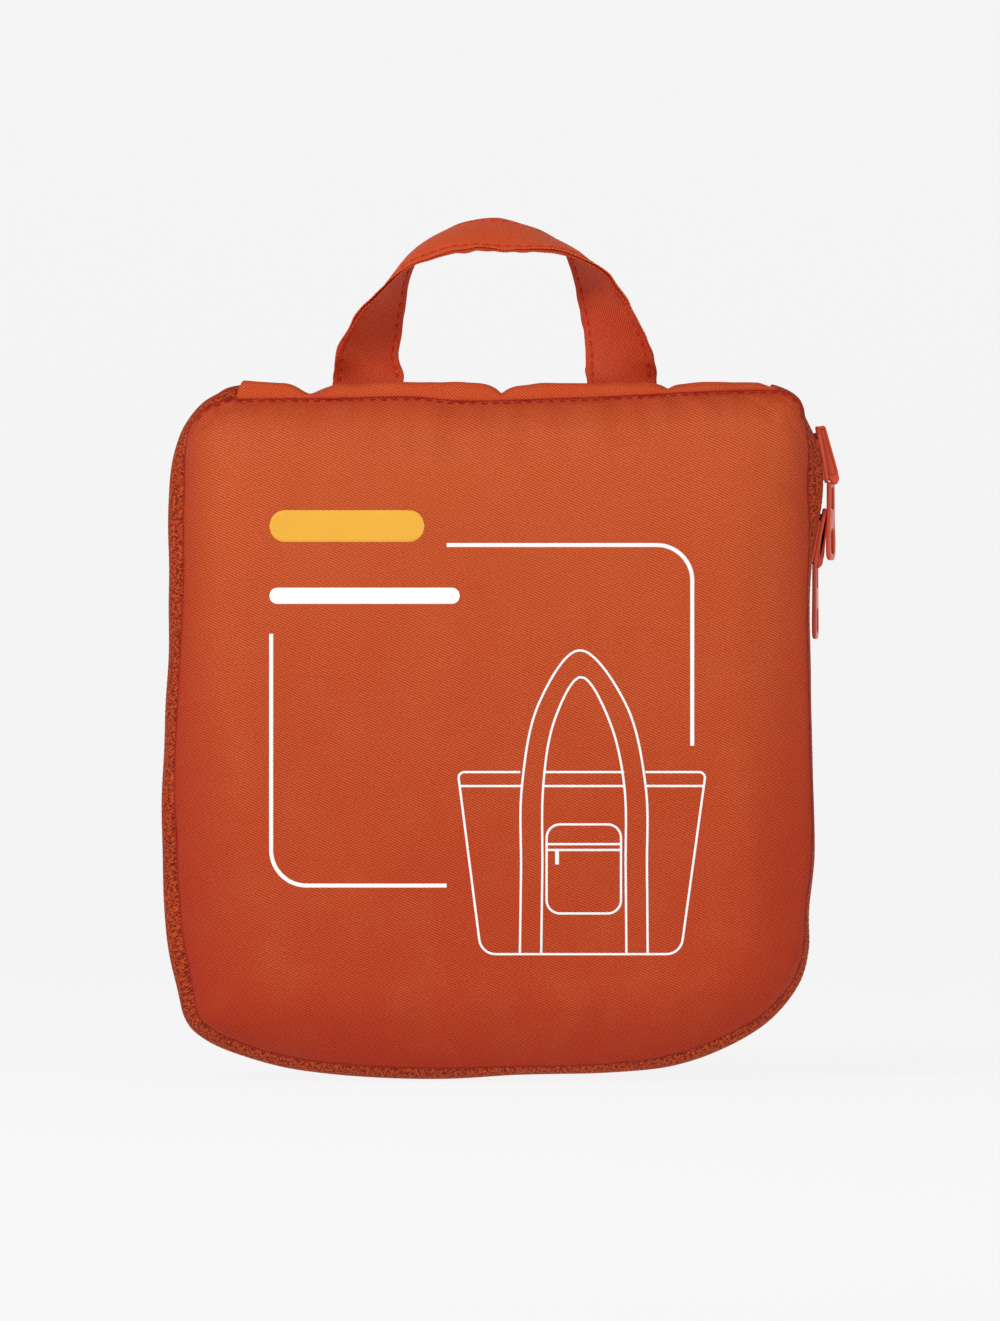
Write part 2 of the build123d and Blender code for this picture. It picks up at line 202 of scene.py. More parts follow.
def new_object(name, data):
    obj = bpy.data.objects.new(name, data)
    scene.collection.objects.link(obj)
    return obj


def new_mesh(name, points, faces):
    mesh = bpy.data.meshes.new(name)
    mesh.from_pydata(np.asarray(points, float).tolist(), [], [[int(v) for v in face] for face in faces])
    mesh.polygons.foreach_set("use_smooth", np.full(len(mesh.polygons), True))
    return mesh


def corner_points(mesh):
    """The number of the point at each face corner."""
    corners = np.zeros(len(mesh.loops), np.int32)
    mesh.loops.foreach_get("vertex_index", corners)
    return corners


def take_result(obj):
    """The points and face corners that the object's modifier gives. The object goes."""
    mesh = obj.evaluated_get(bpy.context.evaluated_depsgraph_get()).to_mesh()
    points, corners = np.zeros(len(mesh.vertices) * 3, np.float32), corner_points(mesh)
    mesh.vertices.foreach_get("co", points)
    bpy.data.objects.remove(obj)
    return points.reshape(-1, 3).astype(float), corners


def make(name, points, faces, material, slot, uv=None, body=None, sharp=None):
    """A mesh object of the bag. Its uv is its cloth's flat layout; edges past the sharp angle stay sharp."""
    mesh = new_mesh(name, np.asarray(points, float) * MM, faces)
    if sharp:
        mesh.set_sharp_from_angle(angle=math.radians(sharp))
    if uv is not None:
        layer = mesh.uv_layers.new(name="cloth")
        flat = (np.asarray(uv, float) * MM)[corner_points(mesh)]
        layer.data.foreach_set("uv", flat.astype(np.float32).ravel())
    mesh.materials.append(material)
    obj = new_object(name, mesh)
    if body:
        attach(obj, body)
    return obj


def cloth(name, surface, thick, material, slot, uv=None, body=None):
    """A thin solid from a grid of points. Its weave is laid out by the grid's own spacing, or by uv."""
    rows, columns = surface.shape[:2]
    if uv is None:
        uv = weave_layout(lengths(surface[:, columns // 2]), lengths(surface[rows // 2]))
    points, faces = thicken(surface.reshape(-1, 3), grid_faces(rows, columns), thick)
    return make(name, points, faces, material, slot, np.vstack([uv.reshape(-1, 2)] * 2), body)


def join_parts(parts):
    """Several (points, faces) as one."""
    points, faces, count = [], [], 0
    for part_points, part_faces in parts:
        points.append(part_points)
        faces.extend([[int(v) + count for v in face] for face in part_faces])
        count += len(part_points)
    return np.vstack(points), faces


def painted(name, parts, body):
    """A painted metal object from several (points, faces), with its edges kept sharp."""
    return make(name, *join_parts(parts), PAINT, "orange_paint", body=body, sharp=50)


def beads(middles, ahead, side, up, places, widths, heights, sinks, spokes):
    """The same closed bead at each middle, as (points, faces): rings at these places along its ahead axis."""
    turn = np.linspace(0, 2 * math.pi, spokes, endpoint=False)
    shape = np.stack([
        np.repeat(places, spokes),
        np.outer(widths, np.cos(turn)).ravel(),
        np.outer(heights, np.sin(turn)).ravel() - np.repeat(sinks, spokes),
    ], 1)
    points = middles[:, None] + sum(
        axis[:, None] * shape[None, :, k:k + 1] for k, axis in enumerate((ahead, side, up)))
    count = len(shape)
    one = grid_faces(len(places), spokes, wrap=True).tolist()
    one += [list(range(spokes))[::-1], list(range(count - spokes, count))]
    faces = [[v + k * count for v in face] for k in range(len(middles)) for face in one]
    return points.reshape(-1, 3), faces


def grains(line, normals, pitch, length, width, height, sink=0.3):
    """Stitches along a line: one rounded grain of thread for each, as (points, faces)."""
    steps = lengths(line)
    at = np.arange(pitch / 2, steps[-1], pitch)
    middle = read_off(at, steps, line)
    ahead = read_off(at + 0.2, steps, line) - middle
    up = unit(read_off(at, steps, normals))
    ahead = unit(ahead - up * np.sum(ahead * up, 1, keepdims=True))
    bend = np.linspace(-1, 1, 6)
    fat = np.sqrt(np.clip(1.04 - bend**4, 0, 1))
    return beads(middle, ahead, np.cross(ahead, up), up,
                 bend * length / 2, fat * width / 2, fat * height / 2, bend**2 * sink, 7)


def stitched(name, rows, thread, slot, body=None):
    """One object from rows of stitches, each (line, normals, pitch, length, width, height) for grains()."""
    return make(name, *join_parts([grains(*row) for row in rows]), thread, slot, body=body)


def plate(loops, thick, bevel, origin, u, v):
    """A flat plate with rounded edges, as (points, faces), in the plane through the origin along u and v.

    The first loop is its outside and the others are holes.
    """
    curve = bpy.data.curves.new("plate", "CURVE")
    curve.dimensions = "2D"
    curve.fill_mode = "BOTH"
    curve.extrude = thick / 2 - bevel
    curve.bevel_depth = bevel
    curve.bevel_resolution = 2
    curve.offset = -bevel
    for loop in loops:
        line = curve.splines.new("POLY")
        line.points.add(len(loop) - 1)
        for point, place in zip(line.points, loop):
            point.co = (*place, 0, 1)
        line.use_cyclic_u = True
    obj = new_object("plate", curve)
    bpy.context.view_layer.update()
    mesh = bpy.data.meshes.new_from_object(obj.evaluated_get(bpy.context.evaluated_depsgraph_get()))
    bpy.data.objects.remove(obj)
    work = bmesh.new()
    work.from_mesh(mesh)
    bmesh.ops.remove_doubles(work, verts=work.verts, dist=1e-4)
    bmesh.ops.recalc_face_normals(work, faces=work.faces)
    points = np.array([v.co for v in work.verts])
    faces = [[corner.index for corner in face.verts] for face in work.faces]
    work.free()
    u, v = unit(np.asarray(u, float)), unit(np.asarray(v, float))
    return np.asarray(origin) + points @ np.stack([u, v, np.cross(u, v)]), faces


# ---------------------------------------------------------------- materials
class Shader:
    """A node material, written line by line. Its sizes are in metres."""

    def __init__(self, name):
        self.material = bpy.data.materials.new(name)
        self.material.use_nodes = True
        self.tree = self.material.node_tree
        self.surface = self.tree.nodes["Principled BSDF"]

    def put(self, target, key, value):
        if isinstance(value, bpy.types.NodeSocket):
            self.tree.links.new(value, target.inputs[key])
        else:
            target.inputs[key].default_value = value

    def outputs(self, kind, values, **settings):
        """All the outputs of a new node."""
        made = self.tree.nodes.new("ShaderNode" + kind)
        for key, value in settings.items():
            setattr(made, key, value)
        for key, value in values.items():
            self.put(made, key, value)
        return made.outputs

    def node(self, kind, values=None, out=0, **settings):
        return self.outputs(kind, values or {}, **settings)[out]

    def flat(self):
        """The cloth's flat layout."""
        return self.node("UVMap", uv_map="cloth")

    def place(self):
        """The place on the object."""
        return self.node("TexCoord", out=3)

    def split(self, vector):
        return self.outputs("SeparateXYZ", {0: vector})[:3]

    def math(self, operation, a, b=0.0, c=0.0):
        return self.node("Math", {0: a, 1: b, 2: c}, operation=operation)

    def plus(self, a, b):
        return self.math("ADD", a, b)

    def times(self, a, b):
        return self.math("MULTIPLY", a, b)

    def times_plus(self, a, b, c):
        return self.math("MULTIPLY_ADD", a, b, c)

    def mix(self, share, a, b, blend="MIX"):
        return self.node("Mix", {0: share, 6: a, 7: b}, out=2, data_type="RGBA", blend_type=blend)

    def level(self, value, low, high, to_low=0.0, to_high=1.0):
        return self.node("MapRange", {0: value, 1: low, 2: high, 3: to_low, 4: to_high})

    def noise(self, vector, size, detail=2.0, rough=0.5):
        """Noise with lumps of this size."""
        values = {"Vector": vector, "Scale": 1 / size, "Detail": detail, "Roughness": rough}
        return self.node("TexNoise", values)

    def waves(self, position, pitch):
        """A wave from 0 to 1."""
        return self.times_plus(self.math("SINE", self.times(position, 2 * math.pi / pitch)), 0.5, 0.5)

    def bump(self, strength, distance, height, **under):
        return self.node("Bump", {"Strength": strength, "Distance": distance, "Height": height, **under})

    def finish(self, **values):
        names = {
            "color": "Base Color", "rough": "Roughness", "normal": "Normal", "sheen": "Sheen Weight",
            "sheen_rough": "Sheen Roughness", "sheen_tint": "Sheen Tint", "specular": "Specular IOR Level",
            "coat": "Coat Weight", "coat_rough": "Coat Roughness", "aniso": "Anisotropic",
            "glow": "Emission Color", "glow_strength": "Emission Strength",
        }
        for key, value in values.items():
            self.put(self.surface, names[key], value)
        return self.material


CLOTH_SHEEN = {"sheen": 0.05, "sheen_tint": (1.0, 0.5, 0.2, 1), "specular": 0.12}


def tint(color, factor=1.0):
    return (color[0] * factor, color[1] * factor, color[2] * factor, 1.0)


def twill(name, color, warm, rough=0.6, rib=0.00062, depth=1.0, seam_shade=0.0, turn=25.0):
    """Fine polyester twill: slanted ribs, broken by the crossing yarn, on cloth that has faded in places.
    Painted light makes it lighter and warmer towards the top, and painted shade can darken it near the seams.
    """
    s = Shader(name)
    flat, place = s.flat(), s.place()
    u, v, _ = s.split(flat)
    c, d = math.cos(math.radians(turn)), math.sin(math.radians(turn))
    drift = s.times(s.math("SUBTRACT", s.noise(flat, 0.009, 1.0), 0.5), 0.0006)
    slant = s.plus(s.times_plus(u, d, drift), s.times(v, c))
    cross = s.math("SUBTRACT", s.times(u, c), s.times_plus(v, d, drift))
    weave = s.times(s.waves(slant, rib), s.times_plus(s.waves(cross, rib * 0.85), 0.5, 0.5))
    fuzz = s.noise(flat, 0.0005, 2.0, 0.6)
    grain = s.times_plus(fuzz, 0.6, s.times(weave, 0.5))
    # Painted light: the colour turns lighter and warmer towards the top, with random tone mixed in
    lit_top_and_tone = s.plus(s.level(s.split(place)[2], 0.01, 0.19), s.times(s.noise(place, 0.045, 3.0, 0.55), 0.5))
    faded = s.level(s.noise(place, 0.012, 3.0, 0.6), 0.45, 0.75)
    base = s.mix(s.level(lit_top_and_tone, 0.2, 1.2), tint(color), tint(warm))
    base = s.mix(s.times(faded, 0.22), base, (0.50, 0.105, 0.032, 1))
    shade = s.mix(s.level(grain, 0.25, 0.72), (0.62, 0.45, 0.44, 1), (1.25, 1.48, 1.55, 1))
    shaded = s.mix(1.0, base, shade, "MULTIPLY")
    # Painted shade: darker and redder near the seams, over the band that the edge value gives
    if seam_shade:
        painted_seam_shade = s.level(s.node("Attribute", out=2, attribute_name="edge"), 0.0, 1.0, seam_shade, 0.0)
        shaded = s.mix(painted_seam_shade, shaded, (color[0] * 0.68, color[1] * 0.24, color[2] * 0.5, 1))
    bump = s.bump(0.55 * depth, 0.0001, s.plus(weave, s.times(fuzz, 0.7)))
    slub = s.bump(0.25, 0.0006, s.noise(place, 0.007), Normal=bump)
    return s.finish(color=shaded, rough=s.level(grain, 0.1, 0.8, rough + 0.08, rough - 0.07), normal=slub,
                    sheen_rough=0.4, **CLOTH_SHEEN)


def herringbone(name, color, warm):
    """Zipper tape: coarse chevrons of raised yarn with dark gaps between them."""
    s = Shader(name)
    flat = s.flat()
    u, v, _ = s.split(flat)
    wobble = s.noise(flat, 0.0012)
    zig = s.math("PINGPONG", s.times_plus(wobble, 0.0006, v), 0.0009)
    ribs = s.waves(s.times_plus(wobble, 0.0008, s.plus(u, zig)), 0.0009)
    columns = s.waves(s.times_plus(wobble, 0.0004, v), 0.0011)
    loops = s.level(s.noise(flat, 0.0008, 2.0, 0.7), 0.41, 0.59)
    knots = s.node("TexVoronoi", {"Vector": flat, "Scale": 1500.0, "Randomness": 0.9})
    grain = s.plus(s.times(ribs, 0.3), s.times(columns, 0.1))
    grain = s.plus(grain, s.times(loops, 0.55))
    grain = s.plus(grain, s.times(s.level(knots, 0.1, 0.75, 1.0, 0.0), 0.2))
    base = s.mix(s.noise(s.place(), 0.02, 3.0), tint(color, 0.95), tint(warm))
    shade = s.mix(s.level(grain, 0.22, 0.82), (0.38, 0.22, 0.24, 1), (1.52, 1.78, 1.7, 1))
    return s.finish(color=s.mix(1.0, base, shade, "MULTIPLY"), rough=0.72, normal=s.bump(0.9, 0.00035, grain),
                    sheen_rough=0.5, **CLOTH_SHEEN)


def thread(name, color):
    """Twisted sewing thread."""
    s = Shader(name)
    twist = s.noise(s.place(), 0.0005)
    return s.finish(color=s.mix(twist, tint(color, 0.75), tint(color, 1.2)), rough=0.6,
                    normal=s.bump(0.6, 0.0001, twist), specular=0.12)


def coil_plastic(name, color):
    """Nylon, a little cloudy, with a fine grain."""
    s = Shader(name)
    place = s.place()
    cloudy = s.noise(place, 0.003)
    return s.finish(color=s.mix(cloudy, tint(color, 0.85), tint(color, 1.15)), specular=0.45,
                    rough=s.level(cloudy, 0.3, 0.7, 0.32, 0.45),
                    normal=s.bump(0.25, 0.00006, s.noise(place, 0.0004)))


def paint(name, color, bright):
    """Thick glossy paint over die-cast metal: soft orange peel, paler where handling has rubbed its edges."""
    s = Shader(name)
    place = s.place()
    rubbed = s.level(s.noise(place, 0.0016, 4.0, 0.6), 0.52, 0.72)
    edges = s.level(s.node("NewGeometry", out=7), 0.52, 0.62)
    wear = s.times(edges, s.times_plus(rubbed, 0.5, 0.1))
    film = s.mix(s.noise(place, 0.004), tint(color, 0.92), tint(color, 1.08))
    return s.finish(color=s.mix(wear, film, bright), rough=s.level(rubbed, 0, 1, 0.3, 0.44), coat=0.12,
                    coat_rough=0.2, specular=0.25, normal=s.bump(0.2, 0.00005, s.noise(place, 0.0007)))


def ink(name, color, under):
    """Screen print: a matt film that lets a little of the weave through."""
    s = Shader(name)
    place = s.place()
    specks = s.level(s.noise(place, 0.00035, 2.0, 0.7), 0.69, 0.76)
    film = s.mix(s.noise(place, 0.006), tint(color, 0.97), tint(color))
    return s.finish(color=s.mix(s.times(specks, 0.5), film, under), rough=0.5,
                    normal=s.bump(0.25, 0.00005, s.noise(place, 0.0006)), specular=0.3)


def satin(name, color):
    """Woven satin of the blank label."""
    s = Shader(name)
    flat = s.flat()
    fine = s.node("TexWave", {"Vector": flat, "Scale": 900.0, "Distortion": 0.4, "Detail": 1.0})
    base = s.mix(s.noise(flat, 0.004, 3.0), tint(color, 0.93), tint(color))
    return s.finish(color=s.mix(s.times(fine, 0.12), base, tint(color, 0.8)), rough=0.42,
                    normal=s.bump(0.3, 0.00006, fine), sheen=0.2, aniso=0.3)


ORANGE, WARM = (0.45, 0.042, 0.0095), (0.53, 0.084, 0.020)
STRAP_WEAVE = {"rib": 0.0006, "depth": 1.2, "turn": -40.0}
TWILL = twill("panel_twill", ORANGE, WARM, seam_shade=0.6)
STRAP_TWILL = twill("strap_twill", (0.56, 0.042, 0.012), (0.62, 0.074, 0.018), **STRAP_WEAVE)
# The strap's underside: the same twill, darker and redder as painted shade
STRAP_UNDER_SHADE = twill("strap_underside_shade", (0.46, 0.029, 0.0100), (0.50, 0.050, 0.0150), **STRAP_WEAVE)
STRIP_TWILL = twill("strip_twill", (0.50, 0.038, 0.009), (0.54, 0.062, 0.013), **STRAP_WEAVE)
LINING = twill("lining_twill", (0.47, 0.045, 0.011), (0.52, 0.06, 0.014), rough=0.7, depth=0.8)
TOTE_TWILL = twill("tote_twill", ORANGE, WARM, rough=0.64)
TAPE = herringbone("zipper_tape_weave", (0.34, 0.027, 0.0065), (0.40, 0.045, 0.0093))
BINDING = herringbone("binding_weave", (0.42, 0.045, 0.011), (0.46, 0.055, 0.014))
THREAD = thread("sewing_thread", (0.43, 0.018, 0.009))
STRAP_THREAD = thread("strap_thread", (0.50, 0.026, 0.013))
# Topstitch thread: a deep red, darkened further as painted shade in its groove. It also colours the
# painted-shade tube in each seam.
THREAD_AND_SEAM_SHADE = thread("seam_thread_and_shade", (0.30, 0.012, 0.007))
COIL = coil_plastic("coil_nylon", (0.50, 0.07, 0.018))
PAINT = paint("slider_paint", (0.60, 0.062, 0.020), (0.72, 0.17, 0.075, 1))
WHITE_INK = ink("white_film", (0.93, 0.9, 0.89), (0.72, 0.30, 0.2, 1))
YELLOW_INK = ink("yellow_film", (0.78, 0.39, 0.036), (0.75, 0.25, 0.05, 1))
LABEL = satin("label_satin", (0.83, 0.81, 0.78))


# ---------------------------------------------------------------- the pouch's outline
# (x, z, how far the panel's seam lies inside the silhouette), down the left side, along the bottom,
# up the right side and back along the top
OUTLINE = spline([
    (-64.3, 180.3, 4.0), (-70.8, 177.8, 2.4), (-75.1, 174.8, 1.7), (-79.1, 169.4, 1.8), (-81.5, 162.8, 3.0),
    (-82.9, 155.0, 4.2), (-83.4, 144.0, 4.4), (-83.0, 128.0, 4.0), (-83.5, 104.0, 3.3), (-84.7, 80.0, 3.4),
    (-84.7, 58.0, 4.0), (-83.6, 38.0, 4.4), (-81.0, 23.6, 4.4), (-79.0, 15.8, 4.0), (-75.0, 11.2, 3.8),
    (-66.5, 6.9, 3.6), (-52.0, 2.8, 3.4), (-33.0, 0.7, 3.3), (-12.0, 0.1, 3.2),
    (8.0, 1.2, 2.6), (28.0, 1.8, 2.4), (46.0, 3.2, 3.2), (60.0, 7.6, 3.4),
    (72.0, 14.6, 2.9), (80.0, 24.0, 2.2), (82.9, 33.5, 1.6), (83.1, 44.0, 1.2), (84.5, 60.0, 0.9),
    (84.1, 82.0, 0.9), (83.5, 106.0, 0.9), (83.2, 124.0, 0.9), (84.0, 137.0, 1.2),
    (85.2, 144.0, 2.4), (86.3, 150.0, 3.8), (86.6, 157.0, 4.1), (85.6, 164.0, 3.0), (83.7, 169.0, 1.7),
    (82.2, 172.2, 0.9), (81.9, 174.2, 0.8), (80.4, 177.2, 1.1), (76.5, 179.7, 1.5), (70.5, 181.0, 2.4),
    (54.0, 181.0, 2.8), (32.0, 181.0, 4.0), (8.0, 181.0, 4.9), (-8.0, 181.0, 5.1), (-20.0, 181.0, 4.1),
    (-42.0, 181.0, 4.5),
], 900, closed=True)
STEP = 0.72     # between the outline's points
ROUND = np.arange(len(OUTLINE)) * STEP
SEAM_Y = 9.8    # the panels' seams, in front of and behind the middle


def outward(curve):
    """Outward directions of a closed curve that runs down its left side."""
    along = unit(np.roll(curve[:, :2], -1, 0) - np.roll(curve[:, :2], 1, 0))
    return np.stack([along[:, 1], -along[:, 0]], 1)


OUTLINE_OUT = outward(OUTLINE)
SEAM = OUTLINE[:, :2] - OUTLINE_OUT * OUTLINE[:, 2:]


def near_seam(x, z):
    """Distance from the seam and the number of the nearest seam point, for each point."""
    points = np.stack([x.ravel(), z.ravel()], 1)
    distance, index = np.empty(len(points)), np.empty(len(points), int)
    for start in range(0, len(points), 2000):
        gap = np.linalg.norm(points[start:start + 2000, None] - SEAM[None], axis=2)
        index[start:start + 2000] = gap.argmin(1)
        distance[start:start + 2000] = gap.min(1)
    return distance.reshape(x.shape), index.reshape(x.shape)


def panel_grid(columns=76, rows=80):
    """(x, z) of a grid that fills the seam's outline, its lines closer together near the seam."""
    corners = [int(np.linalg.norm(SEAM - np.array(c), axis=1).argmin())
               for c in ((-77.0, 169.0), (-75.0, 15.5), (73.0, 16.5), (79.0, 176.5))]
    crowding = 0.62     # of the lines towards the seam: 0 for even spacing, 1 at most

    def side(a, b, count):
        end = corners[b] + (len(SEAM) if corners[b] < corners[a] else 0)
        even = resample(SEAM[np.arange(corners[a], end + 1) % len(SEAM)], 2000)
        t = np.linspace(0, 1, count)
        t = t - crowding * np.sin(2 * math.pi * t) / (2 * math.pi)
        return read_off(t, np.linspace(0, 1, len(even)), even), t

    left, t_rows = side(0, 1, rows)
    bottom, t_columns = side(1, 2, columns)
    right = side(2, 3, rows)[0][::-1]
    top = side(3, 0, columns)[0][::-1]
    s, t = t_rows[:, None, None], t_columns[None, :, None]
    ruled = (1 - t) * left[:, None] + t * right[:, None] + (1 - s) * top[None] + s * bottom[None]
    twist = ((1 - s) * (1 - t) * top[0] + (1 - s) * t * top[-1]
             + s * (1 - t) * bottom[0] + s * t * bottom[-1])
    return ruled - twist


def crown(distance):
    """How far a stuffed panel stands out at this distance from its seam: steep, then nearly flat."""
    slope_width, height, belly = 25.0, 7.1, 0.5
    t = np.clip(distance / slope_width, 0, 1)
    return height * (1 - (1 - t) ** 2.2) ** 0.62 + belly * ease(22, 60, distance)


# ---------------------------------------------------------------- stuffed panels by cloth simulation
def inflate(points, faces, pinned, frames=20, scale=0.01):
    """The points after the closed cloth has been blown up, with the pinned ones held."""
    mesh = new_mesh("inflating", points * scale, faces)
    work = bmesh.new()
    work.from_mesh(mesh)
    bmesh.ops.recalc_face_normals(work, faces=work.faces)
    work.to_mesh(mesh)
    work.free()
    obj = new_object("inflating", mesh)
    obj.vertex_groups.new(name="held").add([int(v) for v in pinned], 1.0, "REPLACE")
    modifier = obj.modifiers.new("Cloth", "CLOTH")
    settings = {
        "quality": 6, "mass": 0.25, "tension_stiffness": 30, "compression_stiffness": 12,
        "shear_stiffness": 8, "bending_stiffness": 0.4, "vertex_group_mass": "held", "shrink_min": -0.018,
        "use_pressure": True, "uniform_pressure_force": 4,
    }
    for key, value in settings.items():
        setattr(modifier.settings, key, value)
    modifier.settings.effector_weights.gravity = 0
    modifier.collision_settings.use_collision = False
    modifier.point_cache.frame_end = frames
    for number in range(1, frames + 1):
        scene.frame_set(number)
    blown, _ = take_result(obj)
    scene.frame_set(1)
    return blown / scale


def stuffed_panels():
    """Coarse grids of the front and the back panel."""
    flat = panel_grid()
    rows, columns = flat.shape[:2]
    distance, _ = near_seam(flat[..., 0], flat[..., 1])
    front, back = (at_depth(flat, side * (SEAM_Y + crown(distance))) for side in (-1, 1))
    count = rows * columns
    faces = grid_faces(rows, columns)
    ring = np.r_[
        np.arange(columns), np.arange(1, rows) * columns + columns - 1,
        (rows - 1) * columns + np.arange(columns - 2, -1, -1), np.arange(rows - 2, 0, -1) * columns,
    ]
    wall = np.stack([ring, np.roll(ring, -1), np.roll(ring, -1) + count, ring + count], 1)
    points = np.vstack([front.reshape(-1, 3), back.reshape(-1, 3)])
    blown = inflate(points, np.vstack([faces, faces[:, ::-1] + count, wall]), np.r_[ring, ring + count])
    most, share = 2.4, 0.8      # of the simulated swelling, how much is kept
    change = blown - points
    size = np.linalg.norm(change, axis=1, keepdims=True)
    change *= np.minimum(1.0, most / np.maximum(size, 1e-6))
    blown = points + share * change
    return blown[:count].reshape(rows, columns, 3), blown[count:].reshape(rows, columns, 3)


def subdivided(points, faces):
    """The surface after one level of subdivision."""
    obj = new_object("subdivided", new_mesh("subdivided", points, faces))
    modifier = obj.modifiers.new("Subdivision", "SUBSURF")
    modifier.levels = modifier.render_levels = 1
    points, corners = take_result(obj)
    return points, corners.reshape(-1, 4)


def dress_panel(coarse, side, seed):
    """The fine surface of a panel: seam puckers, soft dents and, along the top, the topstitch's groove."""
    rows, columns = coarse.shape[:2]
    faces = grid_faces(rows, columns)
    if side < 0:
        faces = faces[:, ::-1]
    points, faces = subdivided(coarse.reshape(-1, 3), faces)
    x, z = points[:, 0], points[:, 2]
    distance, index = near_seam(x, z)
    on_top = ease(168, 176, SEAM[index, 1]) * ease(84, 70, np.abs(SEAM[index, 0]))
    rise = ease(0, 1.5, distance)
    run = index * STEP
    # Short puckers at the seam, and longer ones under the top edge
    near = np.exp(-distance / 9.0) * rise
    pleats = ripple(run, distance * 0.12, 5.5, seed) + 0.5 * ripple(run, distance * 0.2, 2.6, seed + 1)
    relief = near * pleats * (0.2 + 0.5 * on_top)
    far = np.exp(-distance / 26.0) * ease(2, 14, distance)
    relief += far * on_top * 0.75 * ripple(run, distance * 0.1, 11.0, seed + 2)
    # Large and small dents of the stuffing
    lean = x * 0.8 + z * 0.6
    relief += 0.45 * ease(4, 25, distance) * ripple(lean, z * 0.35, 24.0, seed + 3)
    relief += 0.18 * ease(4, 20, distance) * ripple(x * 1.1 - z * 0.5, lean * 0.4, 9.0, seed + 4)
    # The topstitch's groove
    relief -= on_top * 0.35 * np.exp(-((distance - 0.5) / 0.5) ** 2)
    points[:, 1] += side * relief
    # Halfway down the right side the cloth rolls out over the seam
    roll = ease(24, 44, z) * ease(142, 118, z) * ease(60, 76, x)
    swell = roll * 0.9 * np.exp(-((distance - 2.2) / 1.8) ** 2) * rise
    return points + swell[:, None] * at_depth(OUTLINE_OUT[index], 0.0), faces, distance


def add_seam_shade_values(obj, distance, height):
    """Distance from the seam for the material, 0 on it to 1, over a wider band lower down: the twill paints
    shade from it, darker and redder near the seams and over a broader band towards the bottom.
    """
    reach = 9.0 + 13.0 * ease(125, 45, height)
    values = np.clip(np.tile(distance / reach, 2), 0, 1) ** 0.7
    attribute = obj.data.attributes.new("edge", "FLOAT", "POINT")
    attribute.data.foreach_set("value", values.astype(np.float32))


HALVES = ((-1, "front", "front_leaf"), (1, "back", "root"))
FACES = {}      # each panel's outer face, to lay stitches and prints on
for (side, half, body), coarse, seed in zip(HALVES, stuffed_panels(), (3, 40)):
    points, faces, distance = dress_panel(coarse, side, seed)
    panel = make(f"{half}_panel_cloth", *thicken(points, faces, 0.45), TWILL, "orange_twill",
                 np.tile(points[:, [0, 2]], (2, 1)), body)
    add_seam_shade_values(panel, distance, points[:, 2])
    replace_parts(panel, f"{half}_panel")
    FACES[side] = BVHTree.FromPolygons(points.tolist(), faces.tolist())


def on_panel(x, z, side=-1):
    """Points and normals on a panel's face at each (x, z)."""
    places, normals = [], []
    for px, pz in zip(np.ravel(x), np.ravel(z)):
        hit, normal, _, _ = FACES[side].ray_cast(Vector((px, side * 60.0, pz)), Vector((0, -side, 0)))
        if hit is None:
            hit, normal, _, _ = FACES[side].find_nearest(Vector((px, side * 12.0, pz)))
        places.append(hit)
        normals.append(normal if normal.y * side > 0 else -normal)
    return np.array(places), np.array(normals)


def seam_ring(curve, out, lifts, depths, side):
    """A closed tube round the bag, as (points, faces): a ring of these lifts and depths at each point."""
    count, spokes = lifts.shape
    points = at_depth(curve[:, None] + out[:, None] * lifts[..., None], side * depths)
    faces = grid_faces(count + 1, spokes, wrap=True) % (count * spokes)
    return points.reshape(-1, 3), faces[:, ::side]


top = (SEAM[:, 1] > 170.5) & (SEAM[:, 0] > -78)
top_line = resample((SEAM - OUTLINE_OUT * 0.5)[top][np.argsort(SEAM[top][:, 0])], 420)
turn = np.linspace(0, 2 * math.pi, 6, endpoint=False)
lift = 0.05 + 0.06 * ripple(ROUND, 0 * ROUND, 3.0, 77)
for side, half, body in HALVES:
    places, normals = on_panel(top_line[:, 0], top_line[:, 1], side)
    stitched(f"{half}_topstitch", [(places + normals * 0.02, normals, 2.9, 2.6, 0.6, 0.42)], THREAD_AND_SEAM_SHADE,
             "orange_twill", body)
# A thin dark tube in the valley of each panel's seam: painted shade of its crevice
for side, half, body in HALVES:
    points, faces = seam_ring(SEAM, OUTLINE_OUT, lift[:, None] + 0.24 * np.cos(turn),
                              SEAM_Y + 0.06 + 0.3 * np.sin(turn), side)
    make(f"{half}_seam_shade_tube", points, faces, THREAD_AND_SEAM_SHADE, "orange_twill", body=body)

# ---------------------------------------------------------------- zipper tapes and coils
TAPE_RUN = slice(0, int(np.linalg.norm(OUTLINE[:, :2] - np.array([73.5, 181.0]), axis=1).argmin()) + 1)
tape_line = OUTLINE[TAPE_RUN]
tape_out = OUTLINE_OUT[TAPE_RUN]
tape_length = lengths(tape_line[:, :2])


def tape_normal(run):
    """The way out of the bag, at these lengths along the tape."""
    return at_depth(read_off(run, tape_length, tape_out), 0.0)


def tape_point(run, depth, lift=0.0, side=-1):
    """A point of the tape's outer face: along it, this far from the zipper's middle, and lifted."""
    x, z, inset = (np.interp(run, tape_length, column) for column in tape_line.T)
    out_x, out_z = (np.interp(run, tape_length, column) for column in tape_out.T)
    t = np.clip((depth - 4.2) / (SEAM_Y + 0.1 - 4.2), 0, 1)
    drop = -inset * t**2.2 - 0.35 * ease(1.6, 0.4, depth)
    drop = drop + 0.22 * ripple(run, depth, 13.0, 5) * ease(9.5, 7.0, depth)
    drop = drop + lift - 0.2 * t**4
    return np.stack([x + out_x * drop, side * (depth + 0 * x), z + out_z * drop], -1)


